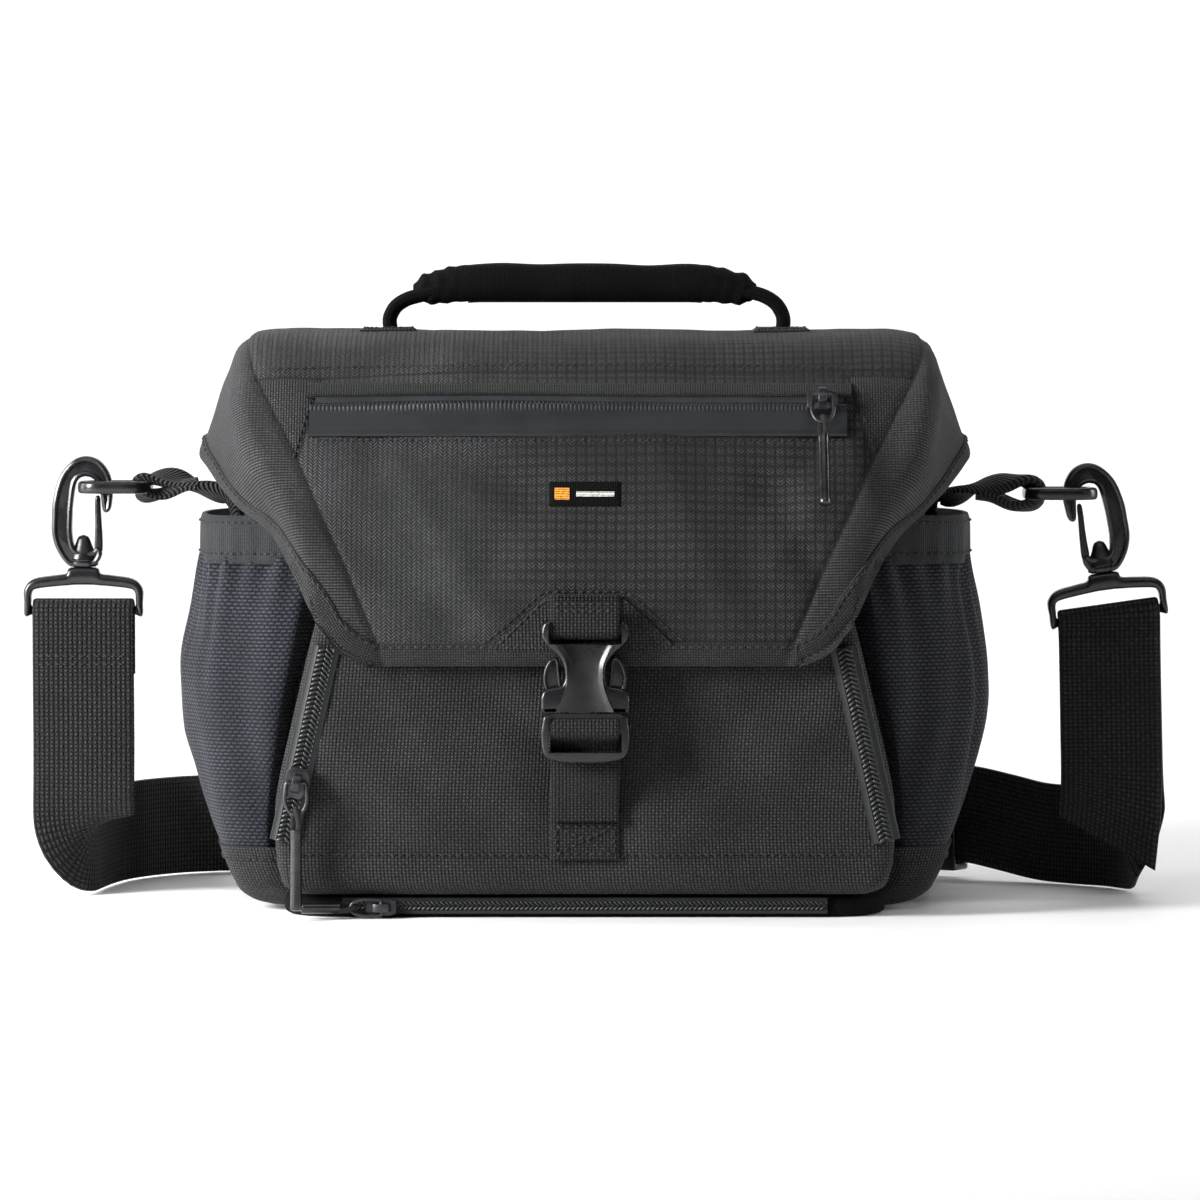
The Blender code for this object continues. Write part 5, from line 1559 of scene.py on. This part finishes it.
def build_strap():
    places, wide = strap_line()
    (left, left_wide), (right, right_wide) = yoke_loop(-1), yoke_loop(1)
    sewn = left[-1] - [0, -0.4, 24]
    back = catmull(np.array(RETURN_ROUTE, float), 3)
    back_wide = np.repeat([[-1.0, 0, 0]], len(back), 0)
    line = np.concatenate([[sewn], left[::-1], places, right, back])
    widths = np.concatenate([left_wide[:1], left_wide[::-1], wide, right_wide, back_wide])
    fine = catmull(np.concatenate([line, widths], 1), 4)
    fine = spaced(fine, 2.0, guide=fine[:, :3])
    strap = ribbon_piece("shoulder_strap", fine[:, :3], fine[:, 3:], STRAP_WIDTH, STRAP_THICK, "webbing",
                         "bag", slant=RETURN_SLANT)
    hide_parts("strap_web")
    pad = build_shoulder_pad(places, wide)
    adjuster = refined("strap_adjuster", "plastic", 0.9)
    yokes = [yoke_piece("left", -1), yoke_piece("right", 1)]
    sew_yoke_end(fine, left[0][2])


def sew_yoke_end(fine, top):
    """Two rows of stitches across the left end's doubled webbing, below the yoke's bar at this height."""
    tail = fine[(fine[:, 2] > 60) & (fine[:, 0] < 0)][:, :3]
    for level in (top - 17, top - 20):
        front_y = min(tail.tolist(), key=lambda p: abs(p[2] - level) + 5 * (p[1] > 3.2))[1] - STRAP_THICK / 2
        path = np.array([(x, front_y, level) for x in np.linspace(-205, -171, 24)])
        sew_front("bag", path, lift=0.0)


def build_shoulder_pad(places, wide):
    keep = (places[:, 1] > 100) & (np.abs(places[:, 0]) < 100)
    middle = off_face(places, wide, 5.2)[keep]
    middle[:, 2] = 29.8
    up = np.array([0, 0, 1.0])
    out = unit(np.cross(unit(np.gradient(middle, axis=0)), up))
    rings = []
    for a in np.linspace(0, TAU, 25)[:-1]:
        up_part = math.copysign(abs(math.cos(a)) ** 0.35, math.cos(a)) * 26.5
        out_part = math.copysign(abs(math.sin(a)) ** 0.6, math.sin(a)) * 2.6
        rings.append(middle + up * up_part + out * out_part)
    rings = np.stack(rings, 1)
    pad = puffed("shoulder_pad_cushion", rings.reshape(-1, 3), capped(*rings.shape[:2]), "black_cloth", "bag",
                 2.4, 4, 1.0, (0, 2))
    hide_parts("shoulder_pad")
    return pad


def refined(node, paint, width):
    """A CAD piece with its edges rounded, in a better material."""
    piece = linked(f"{node}_moulded", NODES[node].data.copy())
    shape = bmesh.new()
    shape.from_mesh(piece.data)
    bmesh.ops.remove_doubles(shape, verts=shape.verts, dist=1e-6)
    bmesh.ops.dissolve_limit(shape, angle_limit=math.radians(1.5), verts=shape.verts, edges=shape.edges)
    shape.to_mesh(piece.data)
    shape.free()
    bake(piece, [("round", "BEVEL", {"width": width * MM, "segments": 3, "limit_method": "ANGLE",
                                      "angle_limit": EDGE_ANGLE, "use_clamp_overlap": True})])
    repaint(piece, paint)
    piece.data.set_sharp_from_angle(angle=EDGE_ANGLE)
    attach(piece, NODES[node]["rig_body"])
    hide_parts(node)
    return piece


def build_anchor_webs():
    for word, side in (("left", -1), ("right", 1)):
        eye = moved(hook_frame(side), [(0, 0, EYE_HEIGHT)])[0]
        bar, z = abs(eye[0]) - RING_REACH, eye[2]
        line = [(129.6, 131), (129.7, 144), (132.4, 150.5), (138, z - 1.6), (bar - 14, z + 2.4),
                (bar - 7, z + 3.7), (bar, z + 3.7), (bar + 3.3, z + 1.8), (bar + 3.6, z), (bar + 3, z - 2.4),
                (bar, z - 3.7),
                (bar - 6, z - 3.3), (bar - 13, z - 0.4), (bar - 19, z + 0.6)]
        path = catmull([(side * x, 5, h) for x, h in line], 8)
        along = lengths(path)
        twist = 0.5 * np.sin(along / 5.5) * np.clip(along / 20, 0, 1)
        twist = twist * np.clip((along[-1] - along) / 30, 0, 1)
        wide = np.stack([0 * twist, np.cos(twist), np.sin(twist)], 1)
        web = ribbon_piece(f"anchor_web_{word}_loop", path, wide, 12, 3.4, "rope", "bag", 1.5)
        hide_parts(f"anchor_web_{word}")


# --- hardware -------------------------------------------------------------------------------------


def offset_outline(outline, inset):
    """A closed outline drawn in by inset millimetres."""
    along = unit(np.roll(outline, -1, axis=0) - np.roll(outline, 1, axis=0))
    inward = np.stack([-along[:, 1], along[:, 0]], 1)
    x, z = outline[:, 0], outline[:, 1]
    twice_area = np.sum(x * np.roll(z, -1) - np.roll(x, -1) * z)
    return outline + inward * inset * (1 if twice_area > 0 else -1)


def moulded_plate(name, outline, half_thick, round_by, matrix, body, steps=5):
    """A moulded plate with rounded rims: an outline in x and z, thick in y, put in place by the matrix."""
    outline = catmull(np.asarray(outline, float), steps, closed=True)
    rings = []
    for angle in np.radians((0, 30, 60, 90)):
        inset, level = round_by * (1 - math.sin(angle)), half_thick - round_by * (1 - math.cos(angle))
        line = offset_outline(outline, inset)
        rings.append(np.stack([line[:, 0], np.full(len(line), -level), line[:, 1]], 1))
    rings += [ring * [1, -1, 1] for ring in rings[::-1]]
    rings = moved(matrix, np.array(rings))
    return loft_piece(name, rings, "plastic", body, weave=rings, smooth=50)


def section_loop(name, centres, aways, ups, half_wide, half_high, body, power=0.55):
    """A closed loop with a rounded-rectangle section. Its half sizes are given once or station by station."""
    rings = []
    for angle in np.linspace(0, TAU, 17)[:-1]:
        a = math.copysign(abs(math.cos(angle)) ** power, math.cos(angle)) * half_wide
        b = math.copysign(abs(math.sin(angle)) ** power, math.sin(angle)) * half_high
        rings.append(centres + aways * np.reshape(a, (-1, 1)) + ups * np.reshape(b, (-1, 1)))
    rings = np.stack(rings, 1)
    return loft_piece(name, rings, "plastic", body, closed=True, weave=rings, smooth=60)


HOOK_OUTLINE = ((-5.4, 1.4), (-9.6, 6.7), (-11.6, 13), (-11.6, 20), (-11.2, 26), (-9.3, 33.5), (-6.4, 38.2),
                (-2.6, 41.4), (1.5, 42.3), (6.0, 40.8), (9.5, 36.5), (11.0, 31), (10.8, 26), (10.2, 22.6),
                (8.8, 21.2), (7.4, 22.4), (6.6, 28), (5.4, 32), (3.0, 34.3), (0, 34.6), (-2.6, 32.4),
                (-3.8, 25), (-4.2, 19), (-4.2, 13), (-3.0, 7.9), (0.6, 6.4), (3.4, 7.0), (5.2, 8.4),
                (6.8, 7.2), (6.6, 4.4), (4.4, 1.6), (0, 1.0))
GATE_OUTLINE = ((4.4, 6.6), (5.6, 6.0), (6.9, 6.6), (7.2, 8.4), (7.1, 13), (6.8, 18), (6.5, 23), (6.3, 26.6),
                (5.5, 27.6), (4.6, 26.8), (4.4, 23), (4.5, 18), (4.4, 13), (4.2, 9))
SWIVEL = ((0.9, 0.5), (0.9, 4.6), (1.6, 5.6), (2.6, 5.5), (3.0, 4.7), (3.4, 4.7), (3.8, 5.3), (4.8, 5.2),
          (6.6, 4.3), (9, 3.2), (11, 2.5), (12.2, 1.8), (12.8, 0.4))
RING_REACH = 24.2
RING_HALF_DEPTH = 12.5
STRAP_Y = 5.0


def build_hooks():
    for word, side in (("left", -1), ("right", 1)):
        matrix = hook_frame(side)
        hook = moulded_plate(f"snap_hook_{word}_body", HOOK_OUTLINE, 2.3, 0.6, matrix, f"hook_{word}")
        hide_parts(f"snap_hook_{word}")
        line = offset_outline(catmull(HOOK_OUTLINE, 5, closed=True), 1.0)
        for face, level in (("front", -2.3), ("back", 2.3)):
            rim = moved(matrix, np.stack([line[:, 0], np.full(len(line), level), line[:, 1]], 1))
            tube_piece(f"snap_hook_{word}_{face}_rim", rim, 1.0, "plastic", f"hook_{word}",
                       sides=8, up=(0, 1, 0), closed=True)
        rings = tube_rings([(0, 0, z) for z, _ in SWIVEL], [r for _, r in SWIVEL], 20, (0, 1, 0))
        rings[..., 1] *= 0.72
        loft_piece(f"snap_hook_{word}_swivel", moved(matrix, rings), "plastic", f"hook_{word}",
                   smooth=50)
        gate = moulded_plate(f"hook_gate_{word}_lever", GATE_OUTLINE, 1.9, 0.7, matrix, f"gate_{word}", 4)
        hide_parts(f"hook_gate_{word}")
        build_ring(word, side, matrix)


def build_ring(word, side, matrix):
    outer, _, z = moved(matrix, [(0, 0, EYE_HEIGHT)])[0]
    middle = (outer + (outer - side * RING_REACH)) / 2
    plan = rounded_plan(RING_REACH / 2, STRAP_Y - RING_HALF_DEPTH, STRAP_Y + RING_HALF_DEPTH, 6.0, 72)
    centres = np.array([(middle + x, y, z) for x, y in plan])
    along = unit(np.roll(centres, -1, axis=0) - np.roll(centres, 1, axis=0))
    ups = np.repeat([[0, 0, 1.0]], len(centres), 0)
    aways = np.cross(along, ups)
    ring = section_loop(f"strap_ring_{word}_loop", centres, aways, ups, 1.6, 2.3, f"ring_{word}", 0.7)
    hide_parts(f"strap_ring_{word}")


def yoke_piece(word, side):
    matrix = hook_frame(side)
    low, slot = -YOKE_BAR_DROP - 1.4, -YOKE_BAR_DROP + 1.4
    half = [((0, low), (0, slot), 1.4), ((10, low), (10, slot), 1.4), ((18.4, low), (18.4, slot), 1.6),
            ((21.9, low - 0.8), (19.6, slot + 0.8), 3.4), ((22.2, -12.5), (19.6, -11.6), 3.6),
            ((22.1, -7.2), (19.2, -8.6), 3.6), ((18.6, -3.6), (17.4, -7.4), 3.5),
            ((11, -2.3), (11, -6.6), 3.4), ((6.4, -1.6), (6, -6.2), 3.4), ((4.8, 0.6), (3, -6.0), 3.4)]
    loop = half + [((-a[0], a[1]), (-b[0], b[1]), t) for a, b, t in half[:0:-1]]
    values = catmull([(*a, *b, t) for a, b, t in loop], 4, closed=True)
    a = np.stack([values[:, 0], 0 * values[:, 0], values[:, 1]], 1)
    b = np.stack([values[:, 2], 0 * values[:, 2], values[:, 3]], 1)
    centres, halves = (a + b) / 2, (a - b) / 2
    reach = np.linalg.norm(halves, axis=1)
    centres = moved(matrix, centres)
    origin = moved(matrix, [(0, 0, 0)])
    aways = unit(moved(matrix, halves) - origin)
    ups = np.repeat(unit(moved(matrix, [(0, 1, 0)]) - origin), len(centres), 0)
    yoke = section_loop(f"strap_yoke_{word}_frame", centres, aways, ups, reach, values[:, 4], "bag")
    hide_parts(f"strap_yoke_{word}")
    return yoke


BUCKLE_Y = -97.7
BUCKLE_WEB_WIDTH = 25
WEB_THICK = 1.6


def web_piece(name, line, body, node):
    """The buckle's webbing, which runs in the plane x = 0, through (y, z) points."""
    path = catmull([(0, y, z) for y, z in line], 6)
    web = ribbon_piece(name, path, (1, 0, 0), BUCKLE_WEB_WIDTH, WEB_THICK, "fine_webbing", body)
    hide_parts(node)


def arc_points(centre, radius, start, end, steps):
    return [(centre[0] + radius * math.cos(a), centre[1] + radius * math.sin(a))
            for a in np.radians(np.linspace(start, end, steps + 1))]


def build_buckle():
    bar = (BUCKLE_Y + 1.4, 105.8)
    line = [(bar[0] + 3.1, 118), (bar[0] + 3.1, 112), *arc_points(bar, 3.1, 0, -180, 6), (bar[0] - 3.1, 111),
            (bar[0] - 3.1, 116)]
    web_piece("buckle_web_loop", line, "flap", "buckle_web")
    face = -84 - 0.3 - WEB_THICK / 2
    web_piece("lower_web_base", [(face, 22), (face, 29), (face, 36), (face, 44)], "bag", "lower_web")
    tail = face - 0.9 - WEB_THICK
    behind, before = BUCKLE_Y + 5.3, BUCKLE_Y - 3.4
    loop = [(tail, 36), (tail, 42), (tail - 2, 47), (behind, 53), (behind, 58), (behind - 1, 63),
            (BUCKLE_Y + 1, 66.3), (BUCKLE_Y - 2, 67.3), (before, 69), (before, 71.5), (before + 1, 73.4)]
    web_piece("plug_web_loop", loop, "buckle_plug", "plug_web")
    left, right, low, high = -10.5, 10.5, 24, 34
    crosses = ((left, low, right, low), (left, high, right, high), (left, low, right, high),
               (left, high, right, low), (left, low, left, high), (right, low, right, high))
    for x0, z0, x1, z1 in crosses:
        sewn_y = face - WEB_THICK / 2
        sew_front("bag", densify([(x0, sewn_y, z0), (x1, sewn_y, z1)]), lift=0.05)
    for level in (112.5, 115):
        sewn_y = bar[0] - 3.1 - WEB_THICK / 2
        sew_front("flap", densify([(-11, sewn_y, level), (11, sewn_y, level)]), lift=0.05)
    build_socket()
    build_plug()


SOCKET = ((0, 109), (8, 109), (12.2, 109), (14.7, 108.2), (15.7, 105.5), (15.5, 102.6), (13.4, 99.8),
          (10.4, 97.2), (8.3, 94.4), (7.4, 91), (7.4, 88), (8.6, 85.7), (12.4, 84.9), (15.0, 83.6),
          (15.9, 81.2), (15.9, 78.5), (15.8, 76.5), (15.3, 76.1), (12, 76.1), (5, 76.1))
# The hollow face: height and half width
DISH = ((76.3, 10.6), (77.4, 10.2), (80, 8.9), (83, 7.7), (85.5, 6.9), (88, 6.5), (91, 6.5), (93.5, 6.9),
        (96, 7.9), (98.6, 9.4), (100.3, 10.6))
PLUG = ((0, 75.5), (7, 75.5), (12.5, 75.5), (14.9, 74.6), (15.5, 72), (15.9, 68), (15.7, 63.5), (14.6, 60.4),
        (11.5, 58.9), (6, 58.1))
PRONG = ((5.8, 76.2), (8.6, 76.1), (9.2, 80.3), (12.4, 81.7), (14.4, 84.4), (15.1, 88.2), (14.5, 91.8),
         (12.8, 94.8), (10.8, 96.0), (9.3, 94.6), (8.9, 90.5), (8.0, 84.5), (6.0, 80.5))


def both_sides(half):
    """A closed outline from its right half."""
    return list(half) + [(-x, z) for x, z in half[::-1] if x]


def carve(piece, boxes, own=False):
    """Cuts boxes, given by their corners, out of a piece. own is for one that folds over itself."""
    for low, high in boxes:
        cutter = raw_piece("cutter", *box_mesh(low, high))
        settings = {"object": cutter, "operation": "DIFFERENCE", "solver": "EXACT", "use_self": own}
        bake(piece, [("cut", "BOOLEAN", settings)])
        bpy.data.objects.remove(cutter)
    piece.data.set_sharp_from_angle(angle=math.radians(40))


def build_socket():
    place = Matrix.Translation((0, BUCKLE_Y, 0))
    front, back, bar_y = BUCKLE_Y - 12, BUCKLE_Y + 12, BUCKLE_Y + 1.4
    socket = moulded_plate("buckle_socket_body", both_sides(SOCKET), 4.1, 1.3, place, "flap")
    carve(socket, [((-13.2, front, 100.6), (13.2, back, 104.2)),
                   ((-13.2, front, 100.5), (13.2, bar_y - 1.5, 115)),
                   ((-13.2, bar_y + 1.5, 100.5), (13.2, back, 115)),
                   ((-13.2, front, 107.3), (13.2, back, 115)),
                   ((-20, BUCKLE_Y - 2.6, 70), (20, BUCKLE_Y + 2.6, 97.6))])
    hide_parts("buckle_socket")
    build_dish()


def build_dish():
    """The socket's hollow face, with a raised rim down each side."""
    levels = catmull(np.array(DISH), 4)
    share = np.concatenate([[-1], np.linspace(-0.97, 0.97, 23), [1]])
    rise = np.where(np.abs(share) > 0.98, -1.6, 0) + np.where(np.abs(share) > 0.8, 0.35, 0)
    rings = []
    for z, half in levels:
        front = BUCKLE_Y - 4.4 - 1.7 * share ** 2 - rise
        back = np.full(9, BUCKLE_Y - 3.9)
        x = np.concatenate([share * half, np.linspace(half, -half, 11)[1:-1]])
        rings.append(np.stack([x, np.concatenate([front, back]), np.full(len(x), z)], 1))
    rings = np.array(rings)
    loft_piece("buckle_socket_dish", rings, "plastic", "flap", weave=rings, smooth=50)


def build_plug():
    place = Matrix.Translation((0, BUCKLE_Y, 0))
    front, back = BUCKLE_Y - 12, BUCKLE_Y + 12
    plug = moulded_plate("buckle_plug_body", both_sides(PLUG), 4.3, 1.2, place, "buckle_plug")
    carve(plug, [((-13.2, front, 61.6), (13.2, back, 68.5)),
                 ((-13.0, front, 67), (13.0, BUCKLE_Y - 2.4, 78))], own=True)
    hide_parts("buckle_plug")
    tongue = [(0, 92.6), (1.7, 92.4), (2.3, 88), (2.5, 76), (0, 74.5)]
    moulded_plate("buckle_plug_tongue", both_sides(tongue), 1.8, 0.6, place, "buckle_plug")
    for word, sign in (("left", -1), ("right", 1)):
        outline = [(sign * x, z) for x, z in PRONG]
        prong = moulded_plate(f"buckle_prong_{word}_spring", outline, 1.0, 0.4, place, f"prong_{word}")
        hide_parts(f"buckle_prong_{word}")
        line = offset_outline(catmull(np.array(outline), 5, closed=True), 0.7)
        centres = np.stack([line[:, 0], np.full(len(line), BUCKLE_Y), line[:, 1]], 1)
        ups = np.repeat([[0, 1.0, 0]], len(line), 0)
        aways = np.cross(unit(np.roll(centres, -1, axis=0) - np.roll(centres, 1, axis=0)), ups)
        section_loop(f"buckle_prong_{word}_rim", centres, aways, ups, 0.7, 2.3, f"prong_{word}")


# --- zip runners ----------------------------------------------------------------------------------


def plane_frame(origin, along, out):
    x, z = Vector(along).normalized(), Vector(out).normalized()
    turn = Matrix((x, z.cross(x), z)).transposed().to_4x4()
    return Matrix.Translation(Vector(origin)) @ turn


def build_pull(name, pivot, hang, side, length, half=3.4, wire_radius=0.75):
    """Wire loop, a braided cord knotted through it, and the smooth tube that holds the cord's ends."""
    pivot = np.asarray(pivot, float)
    down, across = unit(np.asarray(hang, float)), unit(np.asarray(side, float))
    normal = np.cross(down, across)
    reach = 11.0
    flat = [(-half, 0.0), (-half * 0.5, -0.1), (half * 0.5, -0.1), (half, 0.0), (half + 0.5, reach * 0.3),
            (half + 0.5, reach * 0.6), (half * 0.75, reach * 0.9), (0, reach), (-half * 0.75, reach * 0.9),
            (-half - 0.5, reach * 0.6), (-half - 0.5, reach * 0.3)]
    loop = catmull([pivot + across * a + down * b for a, b in flat], 5, closed=True)
    wire = tube_piece(f"{name}_ring", loop, wire_radius, "metal", name, up=normal, closed=True)
    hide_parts(f"{name}_wire")
    knot = [(18, 0.9, 0.6), (14, 1.0, 1.1), (11.5, 0.6, 1.5), (9.6, 0.1, 0.9)]
    strand = knot + [(9.3, 0, 0)] + [(d, -a, -n) for d, a, n in knot[::-1]]
    strand = catmull([pivot + down * d + across * a + normal * n for d, a, n in strand], 5)
    tube_piece(f"{name}_cord", strand, 1.05, "cord", name, sides=8, up=across)
    start = 14.5 if length < 40 else 16.5
    stations = [(start, 1.2), (start + 0.2, 2.1), (start + 1.6, 2.15), (start + 4, 2.05), (start + 9, 2.15),
                (length - 6, 2.1), (length - 1.2, 2.15), (length - 0.3, 1.9), (length, 1.1)]
    along, radii = zip(*stations)
    fine = np.unique(np.concatenate([np.linspace(along[0], along[-1], 34), along]))
    radius = np.interp(fine, along, radii)
    path = pivot + down * fine[:, None] + normal * (0.25 * np.sin(fine / 6))[:, None]
    tube = tube_piece(f"{name}_sleeve", path, radius, "sleeve", name, sides=16, up=normal)
    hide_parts(f"{name}_tube")


def build_runners():
    flap_frame = plane_frame(ZIP_AT, np.cross(ZIP_DOWN, ZIP_OUT), ZIP_OUT) @ Matrix.Translation((-86, 0, 2.3))
    refined("flap_zip_slider", "metal", 0.5)
    build_pull("flap_pull", flap_frame @ Vector((0, 0, 5.9)), ZIP_DOWN, (1, 0, 0), 46)
    low, high = POCKET_ZIP * [-1, 1, 1]
    pocket_frame = plane_frame(low, high - low, (0, -1, 0)) @ Matrix.Translation((6, 0, 1.8))
    refined("pocket_zip_slider", "metal", 0.5)
    build_pull("pocket_pull", pocket_frame @ Vector((0, 0, 5.9)), (0, 0, -1), (1, 0, 0), 46)
    for word, sign in (("left", -1), ("right", 1)):
        frame_here = plane_frame((sign * 127.8, 28, 169), (0, 1, 0), (sign, 0, 0))
        refined(f"main_zip_slider_{word}", "metal", 0.25)
        build_pull(f"main_pull_{word}", frame_here @ Vector((0, 0, 3.7)), (0, 0, -1), (0, 1, 0), 46,
                   wire_radius=0.6)
    rain = plane_frame((-74, -77.8, 4.1), (1, 0, 0), (0, -1, 0))
    refined("rain_zip_slider", "metal", 0.4)
    build_pull("rain_pull", rain @ Vector((0, 0, 4.5)), (-1, 0, 0), (0, 0, 1), 29, 2.4)


# --- everything -----------------------------------------------------------------------------------


def main():
    add_camera()
    add_floor()
    add_studio()
    make_paints()
    build_strap()
    flap = build_flap()
    build_flap_seams(flap)
    build_flap_zip()
    build_buckle_patch(flap)
    build_label(flap)
    build_handle(flap)
    build_front_pocket()
    build_pocket_zips()
    build_side_pockets()
    build_tub()
    build_main_zip()
    build_pouch()
    build_inside()
    build_back_panel()
    build_hinge_strip()
    build_anchor_webs()
    build_hooks()
    build_buckle()
    build_runners()
    finish_sewing()


main()
